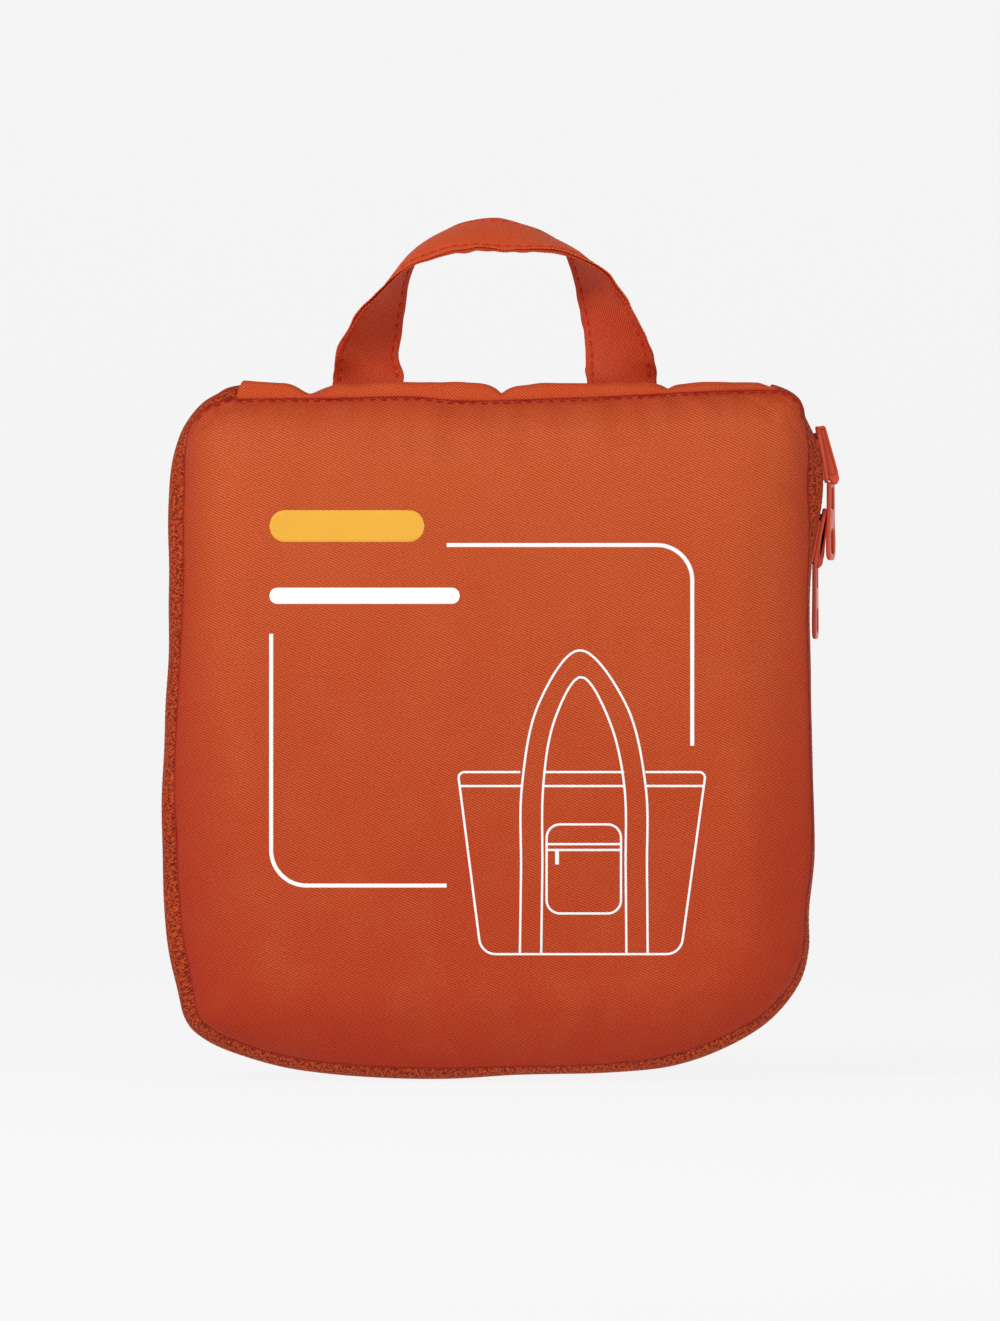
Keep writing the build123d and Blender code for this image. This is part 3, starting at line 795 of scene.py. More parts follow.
# Places across each tape, as distances from the zipper's middle
TAPE_DEPTHS = np.r_[0.45, 0.8, 1.3, np.linspace(2, 9, 15), 9.5, SEAM_Y + 0.05]
for side, half, body in HALVES:
    run = np.linspace(0, tape_length[-1], 620)
    flat = weave_layout(run, TAPE_DEPTHS[::side])
    surface = tape_point(flat[..., 0], flat[..., 1], side=side)
    tape = cloth(f"{half}_tape_weave", surface, 0.5, TAPE, "orange_zipper_tape", flat, body)
    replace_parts(tape, f"{half}_zipper_tape")
    rows = [(tape_point(run, 0 * run + depth, -0.06, side), tape_normal(run), 1.45, 1.2, 0.34, 0.26, 0.1)
            for depth in (1.5, 3.1)]
    stitched(f"{half}_tape_stitches", rows, THREAD, "orange_zipper_tape", body)


def coil(middles, toward, run, up, reach=3.0, past=0.45, width=0.8, height=1.25):
    """The teeth of one half of a nylon zipper: loops that swell where they grip the other half."""
    fat = np.array([0.5, 0.8, 0.78, 0.78, 0.95, 1.1, 0.6])
    places = np.linspace(-reach, past, len(fat))
    heights = (0.6 + 0.4 * fat) * height / 2
    return beads(middles, toward, run, up, places, fat * width / 2, heights, 0 * fat, 8)


for side, half, body in HALVES:
    at = np.arange(4.0 if side < 0 else 4.72, tape_length[-1] - 3.0, 1.44)
    out = unit(tape_normal(at))
    middles = tape_point(at, 0 * at, 0.0, side) - out * 0.75
    toward = np.tile([0.0, -side, 0.0], (len(at), 1))
    teeth = coil(middles, toward, np.cross(toward, out), out)
    obj = make(f"{half}_coil_teeth", *teeth, COIL, "orange_zipper_coil", body=body)
    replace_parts(obj, f"{half}_zipper_coil")


# ---------------------------------------------------------------- hinge strip along the top
STRIP_TOP = 181.1
HOLLOWS = ((-46.0, 2.8, 4.2), (-34.0, 0.9, 5.0))                # (x, depth, width) of soft dips in the strip
CREASES = ((3.1, 0.15, 3.1, 3.0), (46.5, -0.1, 2.3, 2.8))       # (x, slant, depth, width) of sharp ones


def crest(x, seed):
    """Height of the strip's ruffled edge. The seed is 1 at the front and 3 at the back, which hangs lower."""
    z = STRIP_TOP + 0.3 * ripple(x, 0 * x, 9.0, seed)
    z = z - 1.4 * ease(1, 6, x) * ease(42, 36, x) * ease(0.5, 2.0, seed) - 0.9 * ease(69.0, 74.0, x)
    for middle, depth, width in HOLLOWS:
        z = z - depth * np.exp(-((x - middle) / width) ** 2)
    for middle, slant, depth, width in CREASES:
        z = z - depth * np.exp(-np.abs(x - middle - slant * seed) / width)
    return z


def seam_height(x):
    """Height of the panels' top seam."""
    top = (SEAM[:, 1] > 172) & (np.abs(SEAM[:, 0]) < 80)
    order = np.argsort(SEAM[top][:, 0])
    return np.interp(x, SEAM[top][order, 0], SEAM[top][order, 1])


strip_x = np.linspace(-65.2, 74.6, 270)
strip_rows = []
for x in strip_x:
    low = float(seam_height(x))
    end = float(ease(-65.6, -63.6, x) * ease(75.4, 69.5, x))
    front, back = float(crest(x, 1)), float(crest(x + 1.2, 3)) - 0.3
    front, back = (low + 0.8 + (c - low - 0.8) * (0.35 + 0.65 * end) for c in (front, back))
    sag = 0.9 + 0.5 * float(ripple(x, 0.0, 14.0, 9))
    bulge = 0.5 * float(ripple(x, 0.0, 7.0, 12))
    strip_rows.append(spline([
        (x, -9.2, low - 1.3), (x, -9.75, low + 0.15), (x, -9.9 - 0.3 * bulge, low + 1.3),
        (x, -9.0, front - 0.7), (x, -7.2, front), (x, -3.4, front - sag), (x, 1.0, (front + back) / 2 - sag),
        (x, 4.6, back - sag * 0.9), (x, 7.3, back), (x, 9.0, back - 0.7), (x, 9.9, low + 1.3),
        (x, 9.75, low + 0.15), (x, 9.2, low - 1.3),
    ], 46))
strip = np.array(strip_rows)
fold = ripple(strip[..., 0] * 1.3 + strip[..., 1] * 0.9, strip[..., 1] * 0.6, 6.0, 21)
strip[..., 2] += 0.28 * fold * ease(9.8, 8.0, np.abs(strip[..., 1]))
hinge_strip = cloth("hinge_strip_cloth", strip[:, ::-1], 0.45, STRIP_TWILL, "orange_twill")
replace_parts(hinge_strip, "top_hinge_strip")
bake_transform(hinge_strip)

# ---------------------------------------------------------------- carry loop
LOOP_Y = 9.2
STRAP_WIDTH = 18.0
# Front edge (x, z) and back edge (x, z) of the strap, from its left foot over to its right foot
STATIONS = [
    (-40.6, 176.0, -22.2, 176.0), (-40.5, 182.2, -22.4, 182.2), (-39.8, 187.5, -23.6, 187.2),
    (-38.0, 192.6, -23.2, 192.4), (-33.4, 199.6, -22.3, 200.2), (-27.0, 206.2, -21.2, 207.8),
    (-19.5, 211.8, -18.0, 215.2), (-9.5, 215.0, -10.5, 221.3), (1.0, 215.8, 0.5, 224.0),
    (12.5, 215.6, 12.5, 221.2), (22.3, 213.6, 20.0, 216.2), (30.1, 209.6, 22.8, 207.6),
    (35.7, 202.8, 24.0, 200.8), (39.4, 195.4, 25.0, 194.6), (42.4, 188.0, 25.6, 187.8),
    (43.6, 182.2, 25.6, 182.2), (43.8, 176.0, 25.6, 176.0),
]


def strap_edges(count):
    """The strap's two edges, as far apart as its width: what the stations leave of it goes into depth."""
    front, back = [], []
    for front_x, front_z, back_x, back_z in STATIONS:
        seen = math.hypot(back_x - front_x, back_z - front_z)
        depth = math.sqrt(max(STRAP_WIDTH**2 - seen**2, 0.0)) / 2
        front.append((front_x, LOOP_Y - depth, front_z))
        back.append((back_x, LOOP_Y + depth, back_z))
    both = spline(np.hstack([front, back]), count)
    return both[:, :3], both[:, 3:]


# Places across the strap, closer together at its edges and rows of stitches
STRAP_ACROSS = np.array([0, .02, .04, .06, .075, .09, .105, .125, .16, .24, .36, .5,
                         .64, .76, .84, .875, .895, .91, .925, .94, .96, .98, 1])
STITCH_LINES = (0.09, 0.91)
# (share of the strap's length, how far its middle is bowed outwards)
STRAP_CUP = [(0, 0), (0.1, 0.2), (0.22, 1.0), (0.34, 2.3), (0.42, 1.6), (0.5, 0.7), (0.6, 0.9), (0.68, 1.7),
             (0.78, 0.9), (0.9, 0.2), (1, 0)]


def smoothed(values, width=11):
    """Running mean of the values, its ends held."""
    padded = np.pad(values, width // 2, mode="edge")
    return np.convolve(padded, np.ones(width) / width, mode="valid")


def strap_ply(offset, seed):
    """A ply as a grid, its outward normals and its length: wavy edges, pinched along its rows of stitches."""
    front, back = strap_edges(220)
    middle = (front + back) / 2
    length = lengths(middle)
    across = unit(back - front)
    along = np.gradient(middle, axis=0)
    normal = unit(np.cross(along, across))
    v = STRAP_ACROSS[None, :]
    s = length[:, None]
    free = np.abs(2 * v - 1) ** 6
    lift = offset + np.sign(offset) * (
        0.22 * free * (1 + 1.3 * ripple(s, v * 3, 6.0, seed))
        - 0.28 * sum(np.exp(-((v - line) / 0.02) ** 2) for line in STITCH_LINES)
    )
    puckers = 0.2 * ripple(s, v * 2.0, 3.2, 31) * np.exp(-(np.minimum(v, 1 - v) / 0.2) ** 2)
    lift = lift + puckers + 0.35 * ripple(s * 0.8, v * 9.0, 11.0, 33)
    hollow = np.interp(length / length[-1], *zip(*STRAP_CUP))
    lift = lift + smoothed(hollow)[:, None] * (1 - np.abs(2 * v - 1) ** 2.4)
    wander = ripple(s, v * 0, 5.0, seed + 5) + 0.5 * ripple(s, v * 0, 2.3, seed)
    stray = np.where(v < 0.5, -1, 1) * 0.32 * free * wander
    if offset < 0:
        top = ease(0.37, 0.42, length / length[-1]) * ease(0.66, 0.6, length / length[-1])
        scallops = 0.3 + 0.5 * np.abs(np.sin(math.pi * length / 5.2))
        stray = stray - (top * scallops)[:, None] * free * (v < 0.5)
    flat = v * STRAP_WIDTH
    points = front[:, None] + across[:, None] * (flat + stray)[..., None] + normal[:, None] * lift[..., None]
    return points, np.broadcast_to(normal[:, None], points.shape), length


for name, offset, seed, node, weave in (
    ("loop_upper_ply", 0.36, 60, "carry_loop_outer_ply", STRAP_TWILL),
    ("loop_lower_ply", -0.36, 70, "carry_loop_inner_ply", STRAP_UNDER_SHADE),
):
    ply, normals, length = strap_ply(offset, seed)
    uv = weave_layout(length, STRAP_ACROSS * STRAP_WIDTH)
    solid = ply[:, ::-1] if offset > 0 else ply
    obj = cloth(name, solid, 0.3, weave, "orange_twill", uv[:, ::-1] if offset > 0 else uv)
    out = normals[4:-4] * math.copysign(1.0, offset)
    rows = [(ply[4:-4, k] + out[:, k] * 0.12, out[:, k], 2.9, 2.3, 0.55, 0.45)
            for k in (int(np.abs(STRAP_ACROSS - line).argmin()) for line in STITCH_LINES)]
    threads = stitched(name.replace("ply", "stitches"), rows, STRAP_THREAD, "orange_twill")
    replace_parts(obj, node)
    for piece in (obj, threads):
        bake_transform(piece)

# ---------------------------------------------------------------- print on the front
def film(flat, lifts):
    """A grid of (x, z) laid on the front panel as (points, faces), lifted by this much across it."""
    places, _ = on_panel(flat[..., 0], flat[..., 1])
    surface = places.reshape(flat.shape[:2] + (3,)) + np.array([0, -1, 0]) * np.array(lifts)[None, :, None]
    return surface.reshape(-1, 3), grid_faces(*flat.shape[:2])[:, ::-1].tolist()


def printed_line(points, width, closed=False):
    """A printed line that lies on the panel, as (points, faces)."""
    points = np.asarray(points, float)
    if closed:
        points = np.vstack([points, points[:1]])
    line = resample(points, max(6, int(lengths(points)[-1] / 0.7)))
    along = unit(np.gradient(line, axis=0))
    if closed:
        along[0] = along[-1] = unit(along[0] + along[-1])
    across = np.stack([-along[:, 1], along[:, 0]], 1)
    offsets = np.array([-0.5, -0.46, 0.0, 0.46, 0.5]) * width
    return film(line[:, None] + across[:, None] * offsets[None, :, None], [0.0, 0.09, 0.1, 0.09, 0.0])


def printed_bar(left, right, low, high):
    """A printed bar with round ends."""
    half = (high - low) / 2
    columns = np.unique(np.r_[np.linspace(left, left + half, 9), np.linspace(left + half, right - half, 40),
                              np.linspace(right - half, right, 9)])
    inside = np.clip(np.minimum(columns - left, right - columns), 0, half)
    reach = np.sqrt(np.maximum(half**2 - (half - inside) ** 2, 1e-4))
    v = np.array([-1, -0.985, -0.8, -0.4, 0, 0.4, 0.8, 0.985, 1])
    flat = np.stack([np.repeat(columns[:, None], len(v), 1), (low + high) / 2 + reach[:, None] * v], -1)
    return film(flat, [0.0] + [0.1] * 7 + [0.0])


def printed_corner(start, corner, end):
    """Two sides of the frame round the print, with the rounded corner between them."""
    radius, width, steps = 9.1, 1.05, 14
    arc = rounded([start, corner, end], [0.1, radius, 0.1], steps)[steps:2 * steps]
    return printed_line(np.vstack([[start], arc, [end]]), width)


low, high = cad_box("yellow_print")
LEFT_EDGE = low[0]
yellow = make("yellow_bar_print", *printed_bar(LEFT_EDGE, high[0], low[2], high[2]), YELLOW_INK, "yellow_ink",
              body="front_leaf")
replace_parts(yellow, "yellow_print")
lines = [
    printed_bar(LEFT_EDGE, -7.5, 123.4, 127.6),
    printed_corner((-10.9, 138.6), (52.5, 138.6), (52.5, 86.8)),
    printed_corner((LEFT_EDGE + 0.5, 115.7), (LEFT_EDGE + 0.5, 50.7), (-10.9, 50.7)),
]
# A plain pictogram of an open tote: body, rim, two straps in front of it, zipped pocket
FINE = 0.6      # its lines' width
lines += [printed_line(line, FINE) for line in (
    rounded([(8.1, 80), (-8, 80), (-2, 33), (49.5, 33), (56, 80), (40.4, 80)],
            [0.1, 1.4, 4.2, 4.2, 1.4, 0.1], 10),
    spline([(8.0, 33.3), (8.3, 55.0), (8.5, 76.0), (12.6, 97.0), (23.5, 111.5), (35.6, 97.0), (40.5, 76.0),
            (40.8, 55.0), (41.0, 33.3)], 120),
    spline([(13.5, 33.3), (13.8, 55.0), (14.0, 76.0), (16.8, 93.0), (23.8, 104.6), (31.2, 93.0), (35.0, 76.0),
            (35.3, 55.0), (35.5, 33.3)], 120),
)]
lines += [printed_line([(left, height), (right, height)], FINE) for left, right, height in (
    (14.0, 34.9, 80), (-7.6, 8.3, 76.4), (14.1, 34.8, 76.4), (40.6, 55.6, 76.4), (15.0, 34.0, 61.4),
    (15.0, 34.0, 59.9),
)]
pocket = rounded([(14.9, 43.5), (34.1, 43.5), (34.1, 66.5), (14.9, 66.5)], 3.4, 10)
lines += [printed_line(pocket, FINE, True), printed_line([(17.6, 59.9), (17.6, 56.2)], 1.0)]
white = make("white_line_print", *join_parts(lines), WHITE_INK, "white_ink", body="front_leaf")
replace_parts(white, "white_print")


# ---------------------------------------------------------------- pouch sliders and pulls
def lean(part, angle, pivot):
    """A (points, faces) turned about an axis along Y through the pivot (x, z), its top going to +X."""
    points, faces = part
    c, s = math.cos(angle), math.sin(angle)
    x, z = points[:, 0] - pivot[0], points[:, 2] - pivot[1]
    return np.stack([pivot[0] + c * x + s * z, points[:, 1], pivot[1] - s * x + c * z], 1), faces


def slider_parts(x, z, reach, length=15.0):
    """A slider's plates, rims, post and bridge, from height z up, on a tape whose face is at x."""
    shield = even_sided([(2.9, 0), (4.1, 5.5), (4.2, 12.6), (2.4, length)], [1.2, 3, 1.6, 1.4])
    rim = rounded([(0, 0.9), (0.75, 0.9), (0.75, 11.6), (0, 11.6)], 0.3)
    post = even_sided([(1.0, 9.6), (0.8, 13.4)], 0.5)
    wedge = rounded([(1.1, 1.2), (reach - 1.1, -1.2), (reach, 0.4), (reach, 3.0), (reach - 1.2, 14.9),
                     (1.1, 14.9)], [0.3, 0.7, 0.6, 1.6, 0.8, 0.8])
    hollow = rounded([(1.8, 2.3), (reach - 0.75, 1.5), (reach - 0.75, 3.4), (reach - 1.75, 14.0),
                      (1.8, 14.0)], [0.2, 0.5, 0.5, 0.3, 0.2])
    across, outward_x, up = (0, 1, 0), (1, 0, 0), (0, 0, 1)
    return [
        plate([shield], 1.0, 0.35, (x + 0.95, 0, z), across, up),
        plate([shield], 0.9, 0.3, (x - 2.6, 0, z), across, up),
        plate([post], 3.4, 0.1, (x - 0.9, 0, z), across, up),
        plate([wedge, hollow], 2.2, 0.42, (x, 0, z), outward_x, up),
        plate([hollow], 1.3, 0.05, (x, 0, z), outward_x, up),
        *(plate([rim], 0.7, 0.25, (x - 0.25, y, z), outward_x, up) for y in (-3.75, 3.75)),
    ]


def pull_parts(hinge, drop, turn, thick=1.15):
    """A pull that hangs from its hinge, with a slot for the bridge and a finger hole."""
    body = even_sided([(2.5, 0.75), (2.75, -7.5), (3.55, 4.6 - drop), (3.3, -drop)], [0.9, 8, 2.5, 2.6])
    slot = even_sided([(1.35, -0.6), (1.35, -6.2)], 0.55)
    hole = even_sided([(1.9, 8.2 - drop), (1.9, 1.7 - drop)], 1.7, 8)
    angle = math.radians(turn)
    return [plate([body, slot, hole], thick, 0.38, hinge, (math.sin(angle), math.cos(angle), 0), (0, 0, 1))]


TAPE_FACE = cad_box("front_zipper_tape")[1][0]
for place, angle, shift, reach, drift, turn in (
    ("upper", -10.0, (2.15, 2.4), 4.3, -0.5, 15.0), ("lower", 11.0, (-0.7, 1.6), 3.1, -1.9, 8.0),
):
    low, high = cad_box(f"{place}_slider")
    x, z = TAPE_FACE + shift[0], low[2] + shift[1]
    parts = [lean(part, math.radians(angle), (x + 1.0, z + 1.5)) for part in slider_parts(x, z, reach)]
    slider = painted(f"{place}_slider_metal", parts, f"{place}_slider")
    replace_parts(slider, f"{place}_slider")
    low, high = cad_box(f"{place}_pull")
    hinge = ((low[0] + high[0]) / 2 + drift, 0.0, high[2] - 0.6)
    pull = painted(f"{place}_pull_metal", pull_parts(hinge, 19.6, turn), f"{place}_pull")
    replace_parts(pull, f"{place}_pull")

# ---------------------------------------------------------------- inside of the front leaf
pocket_low, pocket_high = cad_box("pocket_zipper_tape")
ZIP_HEIGHT = (pocket_low[2] + pocket_high[2]) / 2


def pocket_lining():
    """The pocket's panel inside the front leaf, as (points, faces): cloth round the window of its zipper."""
    flat = panel_grid(70, 74)
    distance, _ = near_seam(flat[..., 0], flat[..., 1])
    centre, shrink = np.array([0.5, 90.0]), 0.982
    flat = centre + (flat - centre) * shrink
    x, z = flat[..., 0], flat[..., 1]
    depth = 9.6 + 4.4 * ease(0, 22, distance) ** 0.8
    depth = depth - 0.35 * ripple(x, z, 17.0, 90) * ease(3, 20, distance)
    depth = depth - 0.2 * ripple(x * 0.7 + z, z * 0.4, 7.0, 91) * ease(3, 12, distance)
    points, faces = subdivided(at_depth(flat, -depth).reshape(-1, 3), grid_faces(*flat.shape[:2]))
    x, above = points[:, 0], points[:, 2] - ZIP_HEIGHT
    half = (pocket_high[2] - pocket_low[2]) / 2 + 0.1
    inside = (np.abs(above) < half) & (np.abs(x) < pocket_high[0] + 0.2)
    faces = faces[~inside[faces].all(1)]
    rim = (np.abs(np.abs(above) - half) < 0.8) & (np.abs(x) < pocket_high[0])
    points[rim, 2] = (ZIP_HEIGHT + np.sign(above) * half)[rim]
    used = np.unique(faces)
    renumber = np.full(len(points), -1)
    renumber[used] = np.arange(len(used))
    return points[used], renumber[faces]


points, faces = pocket_lining()
lining = make("pocket_lining_cloth", *thicken(points, faces, 0.4), LINING, "orange_lining",
              np.tile(points[:, [0, 2]], (2, 1)), "front_leaf")
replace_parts(lining, "inner_panel")


def flat_zip(name, body, height, half_length, depth, face, edge, reach):
    """A straight zipper along X at y = depth, its teeth on the side that face points to."""
    tapes, layouts, seams, teeth = [], [], [], []
    run = np.linspace(-half_length, half_length, 240)
    for up in (-1, 1):
        flat = weave_layout(run, np.array([0.35, 1.2, 2.4, 3.6, 5.0, edge])[::int(-up * face)])
        x, away = flat[..., 0], flat[..., 1]
        y = depth + face * 0.12 * ripple(x, away * up, 9.0, 95)
        surface = np.stack([x, y, height + up * away], -1)
        tapes.append(thicken(surface.reshape(-1, 3), grid_faces(*flat.shape[:2]), 0.4))
        layouts += [flat.reshape(-1, 2)] * 2
        seam = np.stack([run, np.full(240, height + up * (edge - 1.2))], 1)
        seams.append((at_depth(seam, depth + face * 0.15), np.tile([0.0, face, 0.0], (240, 1)),
                      2.6, 2.0, 0.45, 0.4))
        at = np.arange(-half_length + 1.5 + (0.7 if up > 0 else 0.0), half_length - 1.5, 1.4)
        middles = at_depth(np.stack([at, np.full(len(at), height)], 1), depth + face * 0.5)
        axes = [np.tile(np.array(axis, float), (len(at), 1))
                for axis in ((0, 0, -up), (1, 0, 0), (0, face, 0))]
        teeth.append(coil(middles, *axes, reach, 0.4, 0.78, 1.1))
    tape = make(f"{name}_tape_weave", *join_parts(tapes), TAPE, "orange_zipper_tape", np.vstack(layouts),
                body)
    stitches = stitched(f"{name}_stitches", seams, THREAD, "orange_zipper_tape", body)
    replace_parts(tape, f"{name}_zipper_tape")
    loops = make(f"{name}_coil_teeth", *join_parts(teeth), COIL, "orange_zipper_coil", body=body)
    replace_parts(loops, f"{name}_zipper_coil")


def small_slider(name, node, body, face, base_y=None):
    """A small slider on a flat zipper along X, with a second plate and a bridge where its node has room."""
    low, high = cad_box(node)
    x, middle, z = (low + high) / 2
    base_y = middle if base_y is None else base_y
    shield = rounded([(-4.5, -2.4), (3.0, -3.4), (4.5, -1.8), (4.5, 1.8), (3.0, 3.4), (-4.5, 2.4)],
                     [1.0, 1.4, 1.0, 1.0, 1.4, 1.0])
    axes = ((1, 0, 0), (0, 0, -face))
    parts = [plate([shield], 0.9, 0.3, (x, base_y, z), *axes)]
    if low[1] < base_y - 1.5:
        parts.append(plate([shield], 0.8, 0.25, (x, low[1] + 0.4, z), *axes))
        post = rounded([(1.6, -0.4), (3.4, -0.4), (3.4, 0.4), (1.6, 0.4)], 0.3)
        parts.append(plate([post], base_y - low[1], 0.05, (x, (base_y + low[1]) / 2, z), *axes))
    rise = abs((high if face > 0 else low)[1] - base_y)
    if rise > 1.0:
        wedge = rounded([(-4.2, 0.2), (-4.2, rise), (0, rise), (4.0, 0.2)], [0.2, 0.6, 1.0, 0.2])
        hollow = rounded([(-3.5, 0.5), (-3.5, rise - 0.7), (-0.5, rise - 0.7), (2.0, 0.5)],
                         [0.2, 0.4, 0.5, 0.2])
        parts.append(plate([wedge, hollow], 1.7, 0.3, (x, base_y, z), (1, 0, 0), (0, face, 0)))
    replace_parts(painted(name, parts, body), node)


def small_pull(name, node, body):
    """The pull of a small slider, lying along -X."""
    low, high = cad_box(node)
    _, y, z = (low + high) / 2
    drop = high[0] - low[0] - 0.6
    shape = even_sided([(1.9, 0.6), (2.1, -6.5), (2.75, 4 - drop), (2.5, -drop)], [0.7, 6, 2, 2])
    slot = even_sided([(1.1, -0.7), (1.1, -5.4)], 0.45)
    hole = even_sided([(1.45, 6.4 - drop), (1.45, 1.4 - drop)], 1.3)
    part = plate([shape, slot, hole], 1.0, 0.32, (high[0] - 0.6, y, z), (0, 0, 1), (1, 0, 0))
    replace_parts(painted(name, [part], body), node)


flat_zip("pocket", "front_leaf", ZIP_HEIGHT, pocket_high[0], pocket_high[1] - 0.2, 1.0, 6.7, 2.3)
small_slider("pocket_slider_metal", "pocket_slider", "pocket_slider", 1.0, -12.3)
small_pull("pocket_pull_metal", "pocket_pull", "pocket_pull")

# ---------------------------------------------------------------- seam bindings and end tabs
curve = OUTLINE[:, :2] - OUTLINE_OUT * np.maximum(5.0, OUTLINE[:, 2:] + 0.9)
out = outward(curve)
for side, half, body in HALVES:
    low, high = cad_box(f"{half}_seam_binding")
    near, far = sorted((abs(low[1]), abs(high[1])))
    lift, depth = np.array([(0.0, far), (0.35, far - 0.9), (0.4, near + 0.8), (0.0, near), (-0.5, near),
                            (-0.9, near + 0.8), (-0.85, far)]).T
    waved = lift - 0.5 + 0.12 * ripple(ROUND[:, None], depth, 4.0, 17)
    points, faces = seam_ring(curve, out, waved, depth, side)
    binding = make(f"{half}_binding_weave", points, faces[:, ::-1], BINDING, "orange_binding",
                   weave_layout(ROUND, np.arange(len(lift)) * 0.9).reshape(-1, 2), body)
    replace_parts(binding, f"{half}_seam_binding")
    row = (at_depth(curve - out * 1.35, side * (near + 1.4)), at_depth(-out, 0.0), 2.8, 2.1, 0.45, 0.4)
    stitched(f"{half}_binding_stitches", [row], THREAD, "orange_binding", body)

for place in ("left", "right"):
    low, high = cad_box(f"zipper_end_tab_{place}")
    u, v = np.meshgrid(np.linspace(low[0], high[0], 12), np.linspace(low[1], high[1], 10), indexing="ij")
    surface = np.stack([u, v, high[2] + 0.12 * ripple(u, v, 2.4, 51)], -1)
    tab = cloth(f"end_tab_cloth_{place}", surface[:, ::-1], 0.5, STRIP_TWILL, "orange_twill", body="root")
    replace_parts(tab, f"zipper_end_tab_{place}")

# ---------------------------------------------------------------- the folded tote
def half_width(z, low, high, radius):
    """How far a block with round corners reaches to each side at this height."""
    inside = np.clip(np.minimum(z - low[2], high[2] - z), 0, radius)
    return (high[0] - low[0]) / 2 - radius + np.sqrt(np.maximum(radius**2 - (radius - inside) ** 2, 0))


def folded(name, node, layers, radius, seed, material, upright=False):
    """Cloth folded to and fro between the block's two faces. Upright folds turn at its top and bottom."""
    low, high = cad_box(node)
    if upright:
        low, high = low[[2, 1, 0]], high[[2, 1, 0]]
    centre = (low[0] + high[0]) / 2
    thick = 0.34
    pitch = (high[1] - low[1] - thick - 0.5) / (layers - 1)
    across = np.linspace(low[2] + 0.6, high[2] - 0.6, 60)
    reach = half_width(across, low, high, radius) - pitch / 2 - 0.6
    rows = []
    for layer in range(layers):
        y = low[1] + 0.4 + layer * pitch
        direction = 1 if layer % 2 else -1
        spread = reach - 1.2 * abs(float(lattice(layer, 3, seed)))
        depth = 0.5 * (0.35 + 0.65 * (layer == 0))
        for t in np.linspace(-1, 1, 30):
            x = centre + direction * t * spread
            broad, fine = ripple(x, across, 24.0, seed), ripple(x + across, across * 0.5, 8.0, seed + 2)
            rows.append(np.stack([x, y + depth * (0.5 * broad + 0.28 * fine), across], -1))
        if layer < layers - 1:
            for angle in np.linspace(-math.pi / 2, math.pi / 2, 7)[1:-1]:
                x = centre + direction * (spread + math.cos(angle) * pitch * 0.6)
                turned = y + pitch / 2 + math.sin(angle) * pitch / 2
                rows.append(np.stack([x, np.full(60, turned), across], -1))
    surface = np.array(rows)
    if upright:
        surface = surface[..., [2, 1, 0]]
    uv = weave_layout(lengths(surface[:, 30]), across)
    obj = cloth(name, surface, thick, material, "orange_twill", uv, "root")
    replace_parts(obj, node)


def row_of_stitches(start, end, count, *size):
    """A straight row on cloth that faces the front, for stitched()."""
    return np.linspace(start, end, count), np.tile([0.0, -1.0, 0.0], (count, 1)), *size


folded("tote_back_layers", "tote_back_body_folded", 7, 12.0, 110, TOTE_TWILL)
folded("tote_gusset_layers", "tote_side_gussets_folded", 7, 26.0, 120, TOTE_TWILL)
folded("tote_front_layers", "tote_front_body_folded", 8, 26.0, 130, TOTE_TWILL)
for place, seed in (("left", 140), ("right", 150)):
    folded(f"strap_{place}_layers", f"shoulder_strap_{place}", 6, 4.0, seed, STRIP_TWILL,
           upright=True)
for place in ("left", "right"):
    low, high = cad_box(f"shoulder_strap_{place}")
    rows = [row_of_stitches((x, low[1] + 0.32, low[2] + 4), (x, low[1] + 0.32, high[2] - 4), 60,
                            3.0, 2.4, 0.6, 0.5) for x in (low[0] + 3.2, high[0] - 3.2)]
    stitched(f"strap_{place}_stitches", rows, THREAD, "orange_twill", "root")

low, high = cad_box("care_label")
u, v = np.meshgrid(np.linspace(low[0], high[0], 16), np.linspace(low[2], high[2], 22), indexing="ij")
curl = 0.9 * ease(high[2] - 4, low[2], v) * (0.5 + 0.5 * ripple(u, v, 12.0, 8))
surface = np.stack([u, (low[1] + high[1]) / 2 - curl, v], -1)
label = cloth("blank_label", surface[:, ::-1], 0.22, LABEL, "white_label", body="root")
y, z = low[1] + 0.05, high[2] - 1.6
row = row_of_stitches((low[0] + 1, y, z), (high[0] - 1, y, z), 30, 2.4, 1.9, 0.4, 0.35)
label_stitches = stitched("label_stitches", [row], THREAD, "white_label", "root")
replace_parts(label, "care_label")

low, high = cad_box("mouth_zipper_tape")
flat_zip("mouth", "root", (low[2] + high[2]) / 2, high[0], low[1] + 0.1, -1.0, 6.9, 2.1)
small_slider("mouth_slider_metal", "mouth_zipper_slider", "root", -1.0)
small_pull("mouth_pull_metal", "mouth_zipper_pull", "root")


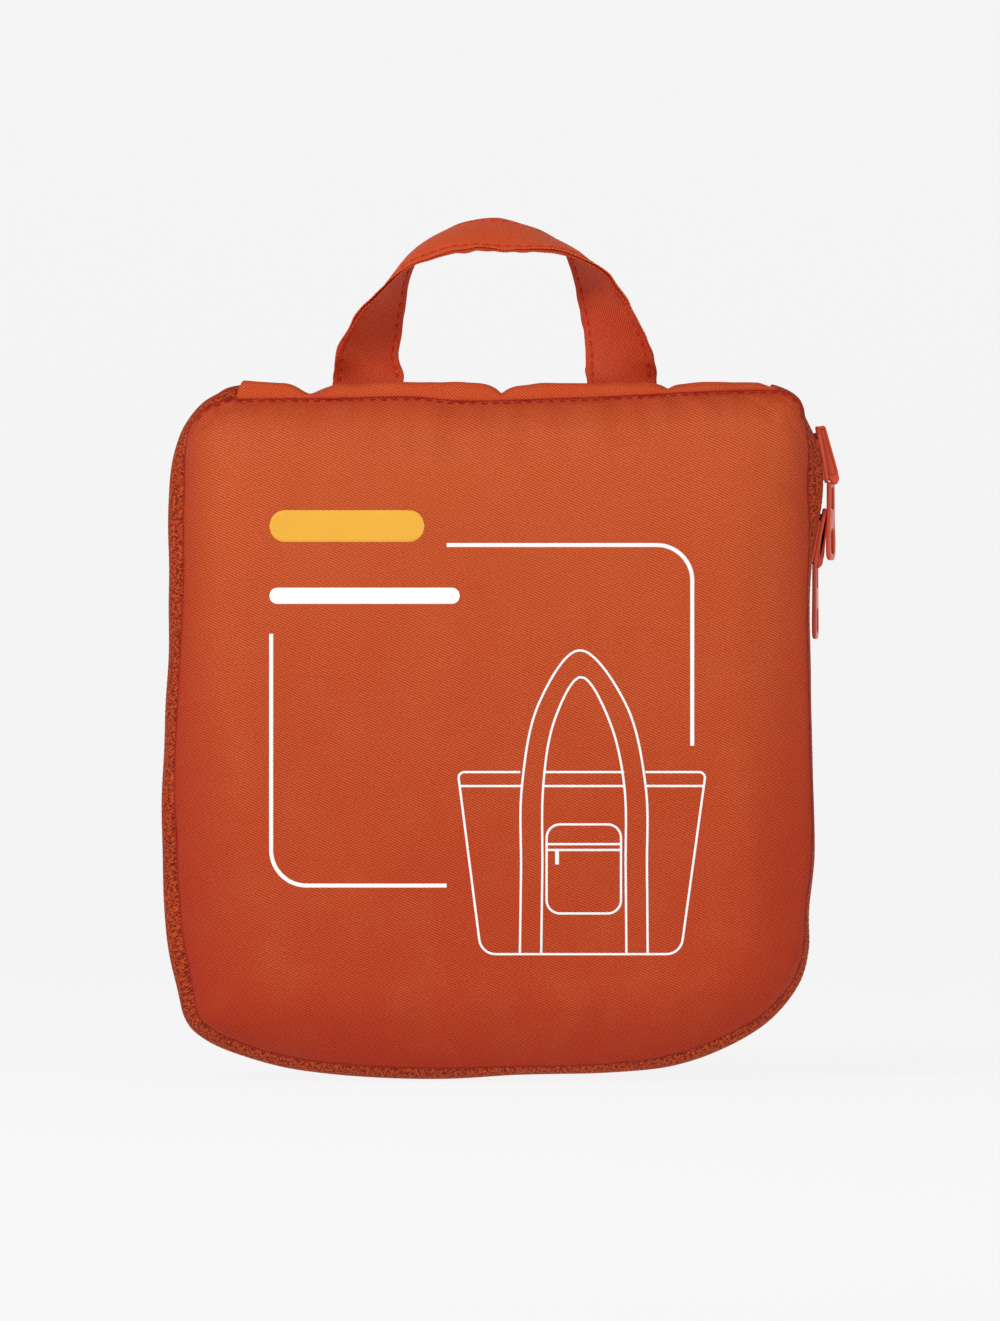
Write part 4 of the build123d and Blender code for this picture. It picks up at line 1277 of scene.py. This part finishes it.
# ---------------------------------------------------------------- studio, in metres
def studio_floor():
    """A wide, softly lit pale floor that curves up into a wall far away on every side."""
    line = spline([(0.0005, 0), (2, 0), (4, 0), (5.2, 0.05), (6.0, 0.5), (6.4, 1.6), (6.4, 4)], 50)
    turn = np.linspace(0, 2 * math.pi, 72, endpoint=False)
    points = np.array([[(r * math.cos(t), r * math.sin(t), z) for t in turn] for r, z in line])
    s = Shader("studio_paper")
    place = s.place()
    grey = s.mix(s.noise(place, 0.4), (0.070, 0.070, 0.070, 1), (0.072, 0.072, 0.072, 1))
    paper = s.finish(color=grey, rough=0.9, normal=s.bump(0.05, 0.0002, s.noise(place, 0.002)),
                     specular=0.0, glow=(1, 1, 1, 1), glow_strength=0.87)
    mesh = new_mesh("studio_floor", points.reshape(-1, 3), grid_faces(50, 72, wrap=True))
    mesh.materials.append(paper)
    floor = new_object("studio_floor", mesh)
    floor.location.z = -0.0002
    floor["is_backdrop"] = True


MIDDLE = Vector((0, 0, 0.1))    # of the bag


def area_light(name, place, size, power):
    """A soft white light, turned to the middle of the bag."""
    light = bpy.data.lights.new(name, "AREA")
    light.shape = "RECTANGLE"
    light.size, light.size_y = size
    light.energy = power
    obj = new_object(name, light)
    obj.location = place
    obj.rotation_euler = (MIDDLE - Vector(place)).to_track_quat("-Z", "Y").to_euler()


studio_floor()
area_light("key", (-0.5, -0.85, 1.0), (0.55, 0.4), 10)
area_light("fill", (1.3, -1.6, 0.5), (1.2, 1.2), 3)
area_light("back", (0.0, 1.3, 1.6), (2.0, 1.0), 2.5)
scene.world = bpy.data.worlds.new("studio")
scene.world.use_nodes = True
sky = scene.world.node_tree.nodes["Background"].inputs
sky["Color"].default_value = (1, 1, 1, 1)
sky["Strength"].default_value = 0.1

# Level and straight on, from far away, as in the photo
camera = bpy.data.cameras.new("camera")
camera.lens = 272.5
camera.sensor_width = 36
camera.clip_end = 50
scene.camera = new_object("camera", camera)
scene.camera.location = (0.00286, -2.6, 0.1088)
scene.camera.rotation_euler = (math.pi / 2, 0, 0)
scene.view_settings.view_transform = "Standard"

low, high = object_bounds()
